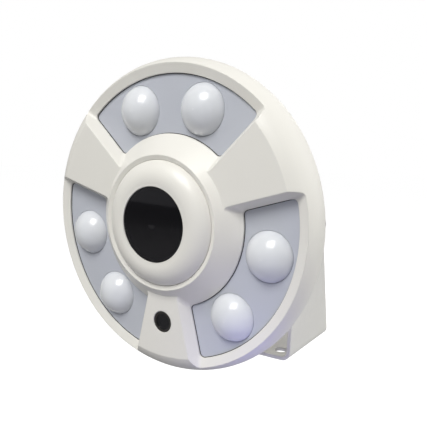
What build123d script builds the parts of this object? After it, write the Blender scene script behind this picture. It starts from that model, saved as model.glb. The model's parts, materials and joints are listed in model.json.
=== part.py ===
from build123d import *
import os
from math import atan2, cos, degrees, radians, sin, sqrt, tan

# Floodlight security camera: a round head with a fisheye camera in the middle and
# six floodlight lamps around it, held at its two sides by a bent sheet-metal yoke.
# World frame, in millimetres: the origin is the middle of the yoke's mounting face,
# +Z goes from that face to the head, and the head looks along -Y.
# Head parts are drawn in the head's own frame: local z = 0 is the front edge of the
# lamp windows, +z goes forward, x is world X and y is world Z.

# ---------------------------------------------------------------- driving sizes
HEAD_R = 80.0            # outer radius of the head
FACE_TO_PIVOT = 39.2     # tilt axis behind the lamp window edge
PIVOT_HEIGHT = 68.0      # tilt axis above the mounting face
PIVOT_SETBACK = -6.6     # tilt axis from the middle of the base, along Y

# Bezel
RIM_BEHIND = 8.0         # widest circle of the head, behind the window edge
DOME_R = 14.7            # roundness of the head's outer slope
SPOKE_HEIGHT = 5.8       # spoke faces in front of the window edge
RIM_BACK = 10.5          # rear edge of the bezel, behind the window edge
RIM_EDGE_R = 1.2         # rounding of the bezel's rear edge
WINDOW_INSET = 8.1       # outer window edge, inside the head's outer edge
WINDOW_IN_R = 43.8
RIDGE_INSET = 3.4        # ridge between window bevel and outer slope, inside the edge
RIDGE_HEIGHT = 1.4
WINDOW_CORNER_R = 2.6
SPOKE_ANGLES = (30.0, 150.0, 270.0)
SPOKE_HALF_ANGLE = 13.75
SPOKE_FLARE = 3.2        # how far each spoke wall spreads from face to window
FLAT_WITHIN = 0.02       # how near an edge counts as lying at a height
SPOKE_NEAR = 16.0        # where the spoke wedges begin, inside the hub
POCKET_OVER = 0.5        # the pocket cutters stand proud of the spoke faces
LEDGE_R = 33.6           # top of the hub cone
LEDGE_HEIGHT = 9.2
LEDGE_FALL = 0.9         # the ledge round the cap slopes down towards the cap
CAP_R = 31.2             # seat of the centre cap
CAP_SEAT_DEPTH = 2.0
WALL = 2.0               # bezel wall
LIP = 1.0                # bezel wall at the window edge
RIM_WALL = 2.4           # bezel wall at the rim
SEAL_STEP_INSET = 4.8    # inner wall above the seal, inside the head's outer edge
SEAL_STEP_BEHIND = 6.6   # step that presses the seal
CAP_HOLE_R = 24.0        # opening of the hub under the cap

# Fits
GAP = 0.15               # between parts that drop into each other
SLIDE_GAP = 0.1          # between parts that slide or turn
SCREW_GAP = 0.2          # radial, round a screw in a clearance hole

# Centre cap and window
CAP_TOP = 13.6
CAP_CREST_R = 26.4
CAP_CREST = 12.7
CAP_RIM_R = 19.8
GLASS_R = 18.6
GLASS_EDGE = 13.1
GLASS_CROWN = 0.8
GLASS_T = 1.5
GLASS_SEAT_W = 1.5       # ledge of the cap under the window
SHROUD_FLANGE_R = 25.4
SHROUD_FLANGE_T = 0.9
SHROUD_IN_R = 9.4
SHROUD_TOP = 10.0
SHROUD_FOOT = 7.4        # inner edge of the shroud
SHROUD_WALL = 0.9

# Lens
BARREL_R = 7.0
BARREL_BOTTOM = -7.0
LENS_R = 7.4
LENS_SEAT = 7.0
LENS_EDGE_T = 1.5
LENS_TOP = 11.2
BARREL_WALL = 1.6
BARREL_HEAD_R = 8.8
BARREL_HEAD_T = 2.8
RING_T = 1.3
REAR_LENS_T = 2.0
REAR_LENS_TOP = -2.0
HOLDER_SIDE = 22.0
HOLDER_TUBE_R = 9.2
HOLDER_TUBE_TOP = 1.0
HOLDER_T = 2.5
SLIDE_BAY = 2.6          # room for the filter slide, along the axis
SENSOR_ROOM = 2.1        # room for the sensor, behind the slide's bay
SLIDE_T = 1.2
FILTER_T = 0.6
FILTER_SIDE = 7.2
FILTER_LEDGE = 0.5
FILTER_TRAVEL = 8.4
SLIDE_W = 9.6
SLIDE_L = 26.0
MOTOR_W = 9.0
MOTOR_L = 7.0
MOTOR_H = 7.0
MOTOR_PIN_R = 1.6
MOTOR_PIN_H = 1.2
SENSOR_BOARD_SIDE = 45.0
BOARD_T = 1.6
SENSOR_SIDE = 9.0
SENSOR_T = 1.4
POST_PITCH = 38.0        # square pattern of the camera posts
POST_R = 2.6

# Lamps
LAMP_PITCH_R = 57.9
LAMP_SPREAD = 19.1       # each lamp from the middle of its window, in degrees
DOME_LENS_R = 12.2
DOME_LENS_RISE = 7.6
PANEL_T = 1.2
PANEL_LAP = 1.2          # panel edge hidden behind the bezel
FLANGE_T = 1.2
FLANGE_R = 13.4
DOME_CAVITY_R = 8.6
DOME_CAVITY_RISE = 2.4
ARRAY_SIDE = 11.6
ARRAY_T = 0.8
ARRAY_ROUND_R = 4.4
ARRAY_ROUND_T = 0.5
LAMP_BOARD_IN_R = 42.5
LAMP_BOARD_INSET = 0.8   # lamp board inside the bezel's inner wall
SPREADER_T = 2.0
LAMP_SCREW_R = 62.0

# Light sensor
EYE_R = 5.6
EYE_PITCH_R = 51.6
EYE_RING_WALL = 1.3
EYE_RING_BACK = 5.0
EYE_SINK = 0.35
EYE_GLASS_T = 1.2
EYE_GLASS_SINK = 0.8
PHOTOCELL_R = 2.5
PHOTOCELL_T = 1.8

# Rear housing
DRUM_R = 56.5
DRUM_BACK = 50.0
DRUM_EDGE_R = 6.0
SHOULDER_BEHIND = 16.0   # where the back of the disc meets the drum
SHOULDER_R = 3.0         # rounding where the disc meets the drum
HOUSING_WALL = 2.4
FLANGE_LIFT = 2.5        # thickness of the housing's flange
SEAL_W = 2.0
CASE_SCREW_INSET = 14.0  # case screws inside the head's outer edge
CASE_HEAD_SINK = 3.8     # heads of the case screws, in from the back of the disc
CASE_SCREW_SIDE = 8.0
CASE_BOSS_R = 3.4

# Main board
CAMERA_SCREW_DEPTH = 9.0 # screw holes in the camera posts
CAMERA_SCREW_L = 7.0
LAMP_SCREW_L = 8.0
CASE_SCREW_L = 12.0
BOARD_SCREW_L = 7.0
PROCESSOR_AT = (-16.0, 8.0)
PROCESSOR_SIDE = 14.0
PROCESSOR_T = 1.6
COOLER_SIDE = 22.0
COOLER_BASE_T = 2.0
COOLER_H = 8.0
FIN_COUNT = 7
FIN_T = 1.2
CAPACITOR_R = 4.0
CAPACITOR_H = 9.0
CAPACITOR_EDGE_R = 0.6
CAPACITOR_PLACES = ((22.0, -22.0), (31.0, -13.0), (12.0, -30.0))
MODULE_AT = (24.0, 14.0)
MODULE_W = 16.0
MODULE_L = 14.0
MODULE_T = 0.8
MODULE_CAN_EDGE = 1.5    # board showing round the shielding can
MODULE_CAN_H = 2.6
HEADER_H = 4.0
HEADER_WALL = 0.8
HEADER_FLOOR = 1.0
LEAD_Y = -14.0           # flat lead between the two boards
LEAD_W = 11.5
LEAD_T = 0.6
LEAD_HEADER_W = 14.0
LEAD_HEADER_L = 4.0
LAMP_HEADER = (14.0, 5.0, (0.0, -36.0))
POWER_HEADER = (5.0, 12.0, (-34.0, -12.0))
ANTENNA_W = 36.0
ANTENNA_T = 0.8
ANTENNA_L = 10.0
ANTENNA_Z = -24.0
ANTENNA_ROOM = 4.5       # from the drum's inner wall
MAIN_BOARD_R = 44.0
MAIN_BOARD_FRONT = -32.4
STANDOFF_PITCH = 56.0
STANDOFF_R = 2.9

# Screws
M3_R = 1.5
M3_HEAD_R = 2.8
M3_HEAD_H = 1.8
M25_R = 1.25
M25_HEAD_R = 2.25
M25_HEAD_H = 1.5
DRIVE_R = 1.0
DRIVE_DEPTH = 0.9

# Yoke
YOKE_HALF_W = 61.0
SHEET_T = 2.0
BEND_R = 2.5             # inside bend radius
BASE_DEPTH = 51.6
ARM_TOP_R = 15.0
MOUNT_HOLE_R = 3.25
MOUNT_SPACING_X = 104.0
MOUNT_SPACING_Y = 34.0
SHEET_EDGE_R = 0.3       # rounding of the cut edges of the sheet

# Tilt hardware
BOLT_R = 3.0
BOLT_HEAD_R = 5.2
BOLT_HEAD_H = 3.3
BOLT_LENGTH = 14.0
HEX_ACROSS = 4.0
WASHER_R = 6.2
WASHER_T = 1.2
SPRING_WASHER_R = 5.4
SPRING_WASHER_T = 1.5
FRICTION_R = 10.5
FRICTION_T = 1.0
BOSS_R = 11.5
INSERT_R = 4.6
INSERT_L = 8.0

# Cable gland and service parts
GLAND_OFFSET = -27.0     # below the middle of the back
GLAND_THREAD_R = 6.2
GLAND_HEX = 16.0
GLAND_BASE_H = 5.0
GLAND_NUT_R = 7.6
GLAND_NUT_H = 9.0
GLAND_BORE_R = 3.4
GLAND_THREAD_INSIDE = 6.0
GLAND_STEM_STEP = 0.6    # the stem under the nut is thinner than the thread
GLAND_STEM_L = 5.0
GLAND_SLEEVE_WALL = 1.1
GLAND_SLEEVE_OUT = 1.5   # sleeve beyond the end of the stem
GLAND_SLEEVE_DEPTH = 1.0 # sleeve's inner end, below the hexagon
GLAND_NUT_EDGE_R = 2.6
GLAND_NUT_LIP = 2.2      # closed end of the nut
GLAND_GRIPS = 12
GLAND_GRIP_R = 0.9
LOCKNUT_H = 3.0
RESET_X = 20.0
RESET_Y = 12.0
BUTTON_R = 3.0
BUTTON_OUT = 0.6         # button beyond the back
BUTTON_EDGE_R = 0.5
BUTTON_FLANGE_W = 1.2
BUTTON_STEM_R = 1.2
BUTTON_STEM_TOP = 3.2    # stem's end, from the inside of the back
SWITCH_SIDE = 6.2
SWITCH_TIP_R = 1.7
SWITCH_TIP_H = 1.0
BUTTON_TRAVEL = 0.8
PLUG_X = -20.0
PLUG_Y = 12.0
PLUG_W = 16.0
PLUG_H = 6.0
PLUG_LIP_W = 2.0
PLUG_LIP_T = 1.2
PLUG_CORNER_R = 3.0
CARD_SOCKET_W = 15.0
CARD_SOCKET_H = 3.4
CARD_SOCKET_LIFT = 2.2   # socket's mouth, from the inside of the back
CARD_W = 11.4
CARD_T = 1.2
CARD_STOP = 3.0          # end of the card, before the main board

# Small shared sizes
JOIN = 0.1               # how far joined solids run into each other
ROOT = 0.5               # how far bosses run into the wall that carries them
THREAD_EASE = 0.02       # screw threads are drawn this much thinner than their holes

# ---------------------------------------------------------------- derived sizes
WINDOW_OUT_R = HEAD_R - WINDOW_INSET
RIDGE_R = HEAD_R - RIDGE_INSET
SEAL_STEP_R = HEAD_R - SEAL_STEP_INSET
LAMP_BOARD_OUT_R = SEAL_STEP_R - LAMP_BOARD_INSET
CASE_SCREW_R = HEAD_R - CASE_SCREW_INSET
PANEL_FRONT = -LIP
PANEL_BACK = PANEL_FRONT - PANEL_T
LAMP_BOARD_FRONT = PANEL_BACK - FLANGE_T
LAMP_BOARD_BACK = LAMP_BOARD_FRONT - BOARD_T
SPREADER_BACK = LAMP_BOARD_BACK - SPREADER_T
FLANGE_BACK = -RIM_BACK
FLANGE_FRONT = FLANGE_BACK + FLANGE_LIFT
CAP_SEAT = LEDGE_HEIGHT - CAP_SEAT_DEPTH
HUB_CEILING = CAP_SEAT - WALL
HOLDER_TOP = BARREL_BOTTOM + HOLDER_T
BARREL_HEAD_BACK = LENS_SEAT - BARREL_HEAD_T
SLIDE_BAY_TOP = BARREL_BOTTOM - GAP
SLIDE_BAY_FLOOR = SLIDE_BAY_TOP - SLIDE_BAY
SENSOR_BOARD_FRONT = SLIDE_BAY_FLOOR - SENSOR_ROOM
SENSOR_BOARD_BACK = SENSOR_BOARD_FRONT - BOARD_T
SLIDE_TOP = (SLIDE_BAY_TOP + SLIDE_BAY_FLOOR + SLIDE_T) / 2
MAIN_BOARD_BACK = MAIN_BOARD_FRONT - BOARD_T
BACK_INSIDE = -DRUM_BACK + HOUSING_WALL
DOME_CENTRE_R = HEAD_R - DOME_R
FACE_OUT_R = DOME_CENTRE_R + sqrt(DOME_R**2 - (SPOKE_HEIGHT + RIM_BEHIND) ** 2)
CONE_SLOPE = (WINDOW_IN_R - LEDGE_R) / LEDGE_HEIGHT
BEVEL_SLOPE = RIDGE_HEIGHT / (RIDGE_R - WINDOW_OUT_R)
EYE_RING_FLOOR = SPOKE_HEIGHT - EYE_SINK - EYE_RING_BACK
ARM_GAP = YOKE_HALF_W - SHEET_T
BOSS_FACE = ARM_GAP - FRICTION_T - SLIDE_GAP
PIVOT_Y = PIVOT_SETBACK
CAP_EDGE = LEDGE_HEIGHT - LEDGE_FALL + GAP
FLANGE_EDGE_R = HEAD_R - RIM_WALL - GAP
SHOULDER_SLOPE = (SHOULDER_BEHIND - RIM_BACK) / (FLANGE_EDGE_R - DRUM_R)
CASE_SEAT = CASE_HEAD_SINK - SHOULDER_BEHIND
WASHER_X = YOKE_HALF_W + SLIDE_GAP
SPRING_X = WASHER_X + WASHER_T
BOLT_SEAT_X = SPRING_X + SPRING_WASHER_T
GLAND_STEM_R = GLAND_THREAD_R - GLAND_STEM_STEP
GLAND_SLEEVE_R = GLAND_BORE_R + GLAND_SLEEVE_WALL
LEAD_AT = (0.0, LEAD_Y)

HEAD = Plane(
    origin=(0, PIVOT_SETBACK - FACE_TO_PIVOT, PIVOT_HEIGHT),
    x_dir=(1, 0, 0),
    z_dir=(0, -1, 0),
)


# ---------------------------------------------------------------- small helpers
def turned(points):
    """A solid turned about the local z axis from (radius, z) points."""
    outline = [(radius, 0, z) for radius, z in points]
    face = make_face(Polyline(*outline, close=True))
    return revolve(face, Axis.Z)


def disc(radius, z_low, z_high, at=(0, 0)):
    """A round plate or rod between two heights."""
    middle = (z_low + z_high) / 2
    return Pos(at[0], at[1], middle) * Cylinder(radius, z_high - z_low)


def tube(outer, inner, z_low, z_high, at=(0, 0)):
    """A round tube between two heights."""
    return disc(outer, z_low, z_high, at) - disc(inner, z_low - 1, z_high + 1, at)


def plate(width, height, z_low, z_high, at=(0, 0)):
    """A rectangular block between two heights."""
    middle = (z_low + z_high) / 2
    return Pos(at[0], at[1], middle) * Box(width, height, z_high - z_low)


def polar(radius, angle, side=0.0):
    """A point at a radius along an angle, moved sideways."""
    a = radians(angle)
    return (
        radius * cos(a) - side * sin(a),
        radius * sin(a) + side * cos(a),
    )


def screw(at, z_seat, length, radius, head_r, head_h, up=-1):
    """A pan-head screw; up is the side of the seat its head is on, along z."""
    head = disc(head_r, 0, head_h)
    head = fillet(head.edges().group_by(Axis.Z)[-1], head_h * 0.45)
    drive = Pos(0, 0, head_h) * Box(2.6 * DRIVE_R, 0.7 * DRIVE_R, 2 * DRIVE_DEPTH)
    cross = Pos(0, 0, head_h) * Box(0.7 * DRIVE_R, 2.6 * DRIVE_R, 2 * DRIVE_DEPTH)
    body = head + disc(radius, -length, 0.1) - drive - cross
    if up < 0:
        body = Rot(180, 0, 0) * body
    return Pos(at[0], at[1], z_seat) * body


def write(name, shape, place=None):
    """Places a piece in the world and writes its STEP file."""
    if place is not None:
        shape = place * shape
    solids = shape.solids()
    shape = solids[0] if len(solids) == 1 else Compound(children=list(solids))
    shape.label = name
    export_step(shape, f"parts/{name}.step")
    return shape


# ---------------------------------------------------------------- places
def lamp_places():
    """The six lamps, two in each window, as (x, y) points."""
    spots = []
    for spoke in SPOKE_ANGLES:
        middle = spoke + 60
        spots.append(polar(LAMP_PITCH_R, middle - LAMP_SPREAD))
        spots.append(polar(LAMP_PITCH_R, middle + LAMP_SPREAD))
    return spots


def case_screw_places():
    """Two case screws behind each spoke."""
    spots = []
    for spoke in SPOKE_ANGLES:
        spots.append(polar(CASE_SCREW_R, spoke, CASE_SCREW_SIDE))
        spots.append(polar(CASE_SCREW_R, spoke, -CASE_SCREW_SIDE))
    return spots


def lamp_screw_places():
    """One lamp board screw behind each spoke."""
    return [polar(LAMP_SCREW_R, spoke) for spoke in SPOKE_ANGLES]


def square_places(pitch):
    """The corners of a square pattern about the axis."""
    half = pitch / 2
    return [(half, half), (-half, half), (-half, -half), (half, -half)]


# ---------------------------------------------------------------- bezel
def spoke_wedge(angle, grow, z_low, z_high):
    """A spoke with sloping walls; grow moves its walls outwards."""
    slope = tan(radians(SPOKE_HALF_ANGLE))
    draft = atan2(SPOKE_FLARE, SPOKE_HEIGHT)
    spread = SPOKE_FLARE / cos(radians(SPOKE_HALF_ANGLE))
    grow_across = grow / cos(radians(SPOKE_HALF_ANGLE))

    def half_width(along, z):
        drop = spread * (1 - z / SPOKE_HEIGHT)
        return along * slope + drop + grow_across

    near = SPOKE_NEAR
    far = HEAD_R + 10
    faces = []
    for z in (z_low, z_high):
        a = half_width(near, z)
        b = half_width(far, z)
        ring = Polyline((near, -a, z), (far, -b, z), (far, b, z), (near, a, z), close=True)
        faces.append(make_face(ring))
    return Rot(0, 0, angle) * loft(faces, ruled=True)


def pocket_ring():
    """The space over the windows, all round, between hub cone and bevel."""
    top = SPOKE_HEIGHT + POCKET_OVER
    far = HEAD_R + 8
    rise = (far - WINDOW_OUT_R) * BEVEL_SLOPE
    points = [
        (WINDOW_IN_R, 0),
        (WINDOW_OUT_R, 0),
        (far, rise),
        (far, top),
        (WINDOW_IN_R - top * CONE_SLOPE, top),
    ]
    return turned(points)


def window_pockets():
    """The three pockets over the lamp windows, with rounded corners."""
    pockets = pocket_ring()
    for angle in SPOKE_ANGLES:
        pockets -= spoke_wedge(angle, 0, -1, SPOKE_HEIGHT + POCKET_OVER)
    corners = [edge for edge in pockets.edges() if abs(edge.tangent_at(0.5).Z) > 0.1]
    return fillet(corners, WINDOW_CORNER_R)


def window_outline(grow):
    """The flat outlines of the three windows, grown on every side."""
    outer = Circle(WINDOW_OUT_R + grow)
    inner = Circle(WINDOW_IN_R - grow)
    ring = outer - inner
    slope = tan(radians(SPOKE_HALF_ANGLE))
    spread = SPOKE_FLARE / cos(radians(SPOKE_HALF_ANGLE))
    less = grow / cos(radians(SPOKE_HALF_ANGLE))
    near = SPOKE_NEAR
    far = HEAD_R + 10
    for angle in SPOKE_ANGLES:
        a = near * slope + spread - less
        b = far * slope + spread - less
        strip = make_face(Polyline((near, -a), (far, -b), (far, b), (near, a), close=True))
        ring -= Rot(0, 0, angle) * strip
    corner = WINDOW_CORNER_R + grow
    return list(fillet(ring.vertices(), corner).faces())


def dome_outline():
    """Half section of the bezel's outside, from the cap seat to the rear edge."""
    start = (FACE_OUT_R, SPOKE_HEIGHT)
    widest = (HEAD_R, -RIM_BEHIND)
    turn = (atan2(start[1] + RIM_BEHIND, start[0] - DOME_CENTRE_R)) / 2
    middle = (
        DOME_CENTRE_R + DOME_R * cos(turn),
        -RIM_BEHIND + DOME_R * sin(turn),
    )
    return start, middle, widest


def bezel_outside():
    """The bezel's outer form before the pockets are cut."""
    start, middle, widest = dome_outline()
    cone_r = WINDOW_IN_R - SPOKE_HEIGHT * CONE_SLOPE
    seat_r = CAP_R + GAP

    def at(r, z):
        return (r, 0, z)

    lines = [
        Polyline(
            at(0, -RIM_BACK),
            at(0, CAP_SEAT),
            at(seat_r, CAP_SEAT),
            at(seat_r, LEDGE_HEIGHT - LEDGE_FALL),
            at(LEDGE_R, LEDGE_HEIGHT),
            at(cone_r, SPOKE_HEIGHT),
            at(*start),
        ),
        ThreePointArc(at(*start), at(*middle), at(*widest)),
        Polyline(
            at(*widest),
            at(HEAD_R, -RIM_BACK + RIM_EDGE_R),
            at(HEAD_R - RIM_EDGE_R, -RIM_BACK),
            at(0, -RIM_BACK),
        ),
    ]
    edges = [edge for line in lines for edge in line.edges()]
    return revolve(make_face(edges), Axis.Z)


def bezel_inside():
    """The hollow inside the bezel."""
    cone_r = WINDOW_IN_R - WALL * 1.4
    top_r = LEDGE_R - WALL * 1.4
    return turned([
        (0, -RIM_BACK - 1),
        (0, HUB_CEILING),
        (top_r, HUB_CEILING),
        (cone_r, -LIP),
        (SEAL_STEP_R, -LIP),
        (SEAL_STEP_R, -SEAL_STEP_BEHIND),
        (HEAD_R - RIM_WALL, -SEAL_STEP_BEHIND),
        (HEAD_R - RIM_WALL, -RIM_BACK - 1),
    ])


def spoke_hollows():
    """The hollow behind each spoke face."""
    ring = turned([
        (WINDOW_IN_R, -LIP - 1),
        (WINDOW_IN_R, SPOKE_HEIGHT - WALL),
        (FACE_OUT_R - WALL, SPOKE_HEIGHT - WALL),
        (SEAL_STEP_R - WALL, -LIP - 1),
    ])
    hollows = [ring & spoke_wedge(angle, -WALL, -LIP - 1, SPOKE_HEIGHT) for angle in SPOKE_ANGLES]
    return hollows[0] + hollows[1] + hollows[2]


def lies_at(edge, z):
    """Whether an edge lies flat at a height."""
    box = edge.bounding_box()
    return abs(box.min.Z - z) < FLAT_WITHIN and abs(box.max.Z - z) < FLAT_WITHIN


def front_bezel():
    """The white front moulding."""
    body = bezel_outside() - bezel_inside() - spoke_hollows()
    for spot in case_screw_places():
        body += disc(CASE_BOSS_R, FLANGE_FRONT, SPOKE_HEIGHT - WALL + ROOT, spot)
    for spot in lamp_screw_places():
        body += disc(CASE_BOSS_R, LAMP_BOARD_FRONT, SPOKE_HEIGHT - WALL + ROOT, spot)
    for spot in square_places(POST_PITCH):
        body += disc(POST_R, SENSOR_BOARD_FRONT, HUB_CEILING + ROOT, spot)
    eye = polar(EYE_PITCH_R, SPOKE_ANGLES[2])
    body += disc(EYE_R + WALL, EYE_RING_FLOOR, SPOKE_HEIGHT - ROOT, eye)
    for outline in window_outline(0):
        body -= extrude(outline, LIP + 1, dir=(0, 0, -1))
    body -= window_pockets()
    body -= disc(CAP_HOLE_R, HUB_CEILING - 1, CAP_SEAT + 1)
    body -= disc(EYE_R + GAP, EYE_RING_FLOOR - 1, SPOKE_HEIGHT + 1, eye)
    for spot in case_screw_places():
        body -= disc(M3_R, FLANGE_FRONT - 1, SPOKE_HEIGHT - WALL, spot)
    for spot in lamp_screw_places():
        body -= disc(M25_R, LAMP_BOARD_FRONT - 1, SPOKE_HEIGHT - WALL, spot)
    for spot in square_places(POST_PITCH):
        body -= disc(M25_R, SENSOR_BOARD_FRONT - 1, SENSOR_BOARD_FRONT + CAMERA_SCREW_DEPTH, spot)
    return body


# ---------------------------------------------------------------- centre of the head
def centre_cap():
    """The round cap that closes the hub and frames the front window."""
    seat_z = GLASS_EDGE - GLASS_T
    inner_r = GLASS_R - GLASS_SEAT_W
    side_r = CAP_R - WALL
    crest = (CAP_CREST_R, CAP_CREST)
    outer = [(CAP_R, CAP_SEAT), (CAP_R, CAP_EDGE)]
    inner = [
        (CAP_RIM_R, CAP_TOP),
        (GLASS_R + GAP, CAP_TOP),
        (GLASS_R + GAP, seat_z),
        (inner_r, seat_z),
        (inner_r, SHROUD_TOP + GAP),
        (side_r - WALL, SHROUD_TOP - GAP),
        (side_r, LEDGE_HEIGHT - WALL / 2),
        (side_r, CAP_SEAT),
        (CAP_R, CAP_SEAT),
    ]

    def at(point):
        return (point[0], 0, point[1])

    lines = [
        Polyline(*[at(point) for point in outer]),
        ThreePointArc(at(outer[-1]), at(crest), at(inner[0])),
        Polyline(*[at(point) for point in inner]),
    ]
    edges = [edge for line in lines for edge in line.edges()]
    return revolve(make_face(edges), Axis.Z)


def crowned(radius, z_low, z_edge, z_top):
    """A round lens with a flat back and a crowned front."""
    rise = z_top - z_edge
    ball = (radius**2 + rise**2) / (2 * rise)
    half = degrees(atan2(radius, ball - rise)) / 2
    middle = (ball * sin(radians(half)), 0, z_top - ball + ball * cos(radians(half)))
    lines = [
        Polyline((0, 0, z_top), (0, 0, z_low), (radius, 0, z_low), (radius, 0, z_edge)),
        ThreePointArc((radius, 0, z_edge), middle, (0, 0, z_top)),
    ]
    edges = [edge for line in lines for edge in line.edges()]
    return revolve(make_face(edges), Axis.Z)


def front_window():
    """The dark round window in front of the lens."""
    return crowned(GLASS_R, GLASS_EDGE - GLASS_T, GLASS_EDGE, GLASS_EDGE + GLASS_CROWN)


def lens_shroud():
    """The black funnel between the window and the lens."""
    rim_r = GLASS_R - GLASS_SEAT_W - GAP
    return turned([
        (SHROUD_FLANGE_R, CAP_SEAT),
        (SHROUD_FLANGE_R, CAP_SEAT + SHROUD_FLANGE_T),
        (rim_r, CAP_SEAT + SHROUD_FLANGE_T),
        (rim_r, SHROUD_TOP),
        (rim_r - SHROUD_WALL, SHROUD_TOP),
        (SHROUD_IN_R, SHROUD_FOOT + SHROUD_WALL),
        (SHROUD_IN_R, SHROUD_FOOT),
        (rim_r - 2 * SHROUD_WALL, CAP_SEAT),
    ])


def lens_barrel():
    """The threaded tube that holds the lenses."""
    bore = BARREL_R - BARREL_WALL
    stem = tube(BARREL_R, bore, BARREL_BOTTOM, BARREL_HEAD_BACK + 0.1)
    return stem + tube(BARREL_HEAD_R, bore, BARREL_HEAD_BACK, LENS_SEAT)


def front_lens():
    """The domed fisheye element."""
    return crowned(LENS_R, LENS_SEAT, LENS_SEAT + LENS_EDGE_T, LENS_TOP)


def lens_ring():
    """The ring that holds the fisheye element on the barrel."""
    return tube(BARREL_HEAD_R, LENS_R + SLIDE_GAP, LENS_SEAT, LENS_SEAT + RING_T)


def rear_lens():
    """The small element inside the barrel."""
    radius = BARREL_R - BARREL_WALL - SLIDE_GAP / 2
    return crowned(radius, REAR_LENS_TOP - REAR_LENS_T, REAR_LENS_TOP - 0.8, REAR_LENS_TOP)


def lens_holder():
    """The block that carries the barrel over the image sensor."""
    block = plate(HOLDER_SIDE, HOLDER_SIDE, SENSOR_BOARD_FRONT, HOLDER_TOP)
    block += disc(HOLDER_TUBE_R, HOLDER_TOP - 0.1, HOLDER_TUBE_TOP)
    block -= disc(BARREL_R + SLIDE_GAP / 2, SLIDE_BAY_TOP - 1, HOLDER_TUBE_TOP + 1)
    bay_w = SLIDE_W + 4 * SLIDE_GAP
    block -= plate(HOLDER_SIDE + 2, bay_w, SLIDE_BAY_FLOOR, SLIDE_BAY_TOP)
    room = SENSOR_SIDE + 2 * WALL
    block -= plate(room, room, SENSOR_BOARD_FRONT - 1, SLIDE_BAY_FLOOR + 0.1)
    return block


def filter_slide():
    """The slide that puts one of two filters in front of the sensor."""
    middle = FILTER_TRAVEL / 2
    back = SLIDE_TOP - SLIDE_T
    body = plate(SLIDE_L, SLIDE_W, back, SLIDE_TOP, (middle, 0))
    seat = FILTER_SIDE + SLIDE_GAP
    light = FILTER_SIDE - 2 * FILTER_LEDGE
    for x in (0, FILTER_TRAVEL):
        body -= plate(seat, seat, SLIDE_TOP - FILTER_T, SLIDE_TOP + 1, (x, 0))
        body -= plate(light, light, back - 1, SLIDE_TOP, (x, 0))
    return body


def slide_filter(x):
    """One square filter glass in the slide."""
    return plate(FILTER_SIDE, FILTER_SIDE, SLIDE_TOP - FILTER_T, SLIDE_TOP, (x, 0))


def filter_motor():
    """The small coil motor beside the lens holder that moves the slide."""
    y = (HOLDER_SIDE + MOTOR_L) / 2 + ROOT
    top = SENSOR_BOARD_FRONT + MOTOR_H
    body = plate(MOTOR_W, MOTOR_L, SENSOR_BOARD_FRONT, top, (0, y))
    return body + disc(MOTOR_PIN_R, top - ROOT, top + MOTOR_PIN_H, (0, y))


def sensor_board():
    """The small square board behind the lens holder."""
    side = SENSOR_BOARD_SIDE
    board = plate(side, side, SENSOR_BOARD_BACK, SENSOR_BOARD_FRONT)
    board = fillet(board.edges().filter_by(Axis.Z), POST_R)
    for spot in square_places(POST_PITCH):
        board -= disc(M25_R + SCREW_GAP, SENSOR_BOARD_BACK - 1, SENSOR_BOARD_FRONT + 1, spot)
    return board


def image_sensor():
    """The image sensor chip with its cover glass raised in the middle."""
    top = SENSOR_BOARD_FRONT + SENSOR_T
    body = plate(SENSOR_SIDE, SENSOR_SIDE, SENSOR_BOARD_FRONT, top - 0.4)
    return body + plate(SENSOR_SIDE - 1.6, SENSOR_SIDE - 2.4, top - 0.5, top)


# ---------------------------------------------------------------- lamps
def lamp_panels():
    """The pale panel in each window, with a round hole for each lamp."""
    panels = []
    for outline in window_outline(PANEL_LAP):
        panel = Pos(0, 0, PANEL_FRONT) * extrude(outline, PANEL_T, dir=(0, 0, -1))
        for spot in lamp_places():
            panel -= disc(DOME_LENS_R + GAP, PANEL_BACK - 1, PANEL_FRONT + 1, spot)
        panels.append(panel)
    return panels


def dome_lens(spot):
    """One milky domed lens over a lamp."""
    body = disc(FLANGE_R, LAMP_BOARD_FRONT, PANEL_BACK)
    top = PANEL_FRONT + DOME_LENS_RISE
    body += crowned(DOME_LENS_R, PANEL_BACK - 0.1, PANEL_FRONT, top)
    body -= disc(DOME_CAVITY_R, LAMP_BOARD_FRONT - 1, LAMP_BOARD_FRONT + DOME_CAVITY_RISE)
    return Pos(spot[0], spot[1], 0) * body


def lamp_array(spot):
    """One square light-emitting chip array."""
    angle = degrees(atan2(spot[1], spot[0]))
    top = LAMP_BOARD_FRONT + ARRAY_T
    body = plate(ARRAY_SIDE, ARRAY_SIDE, LAMP_BOARD_FRONT, top)
    body += disc(ARRAY_ROUND_R, top - 0.1, top + ARRAY_ROUND_T)
    return Pos(spot[0], spot[1], 0) * Rot(0, 0, angle) * body


def lamp_ring(z_low, z_high):
    """A ring plate behind the lamps, with its screw and boss holes."""
    ring = tube(LAMP_BOARD_OUT_R, LAMP_BOARD_IN_R, z_low, z_high)
    for spot in case_screw_places():
        ring -= disc(CASE_BOSS_R + 2 * SCREW_GAP, z_low - 1, z_high + 1, spot)
    for spot in lamp_screw_places():
        ring -= disc(M25_R + SCREW_GAP, z_low - 1, z_high + 1, spot)
    return ring


# ---------------------------------------------------------------- light sensor
def eye_ring():
    """The black ring in the lower spoke."""
    glass_back = SPOKE_HEIGHT - EYE_GLASS_SINK - EYE_GLASS_T
    inner = EYE_R - EYE_RING_WALL
    body = tube(EYE_R, inner, glass_back - 0.1, SPOKE_HEIGHT - EYE_SINK)
    body += tube(EYE_R, inner - 0.7, EYE_RING_FLOOR - 0.1, glass_back)
    body += tube(EYE_R + 1.2, inner - 0.7, EYE_RING_FLOOR - 0.8, EYE_RING_FLOOR)
    return Pos(*polar(EYE_PITCH_R, SPOKE_ANGLES[2])) * body


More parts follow.
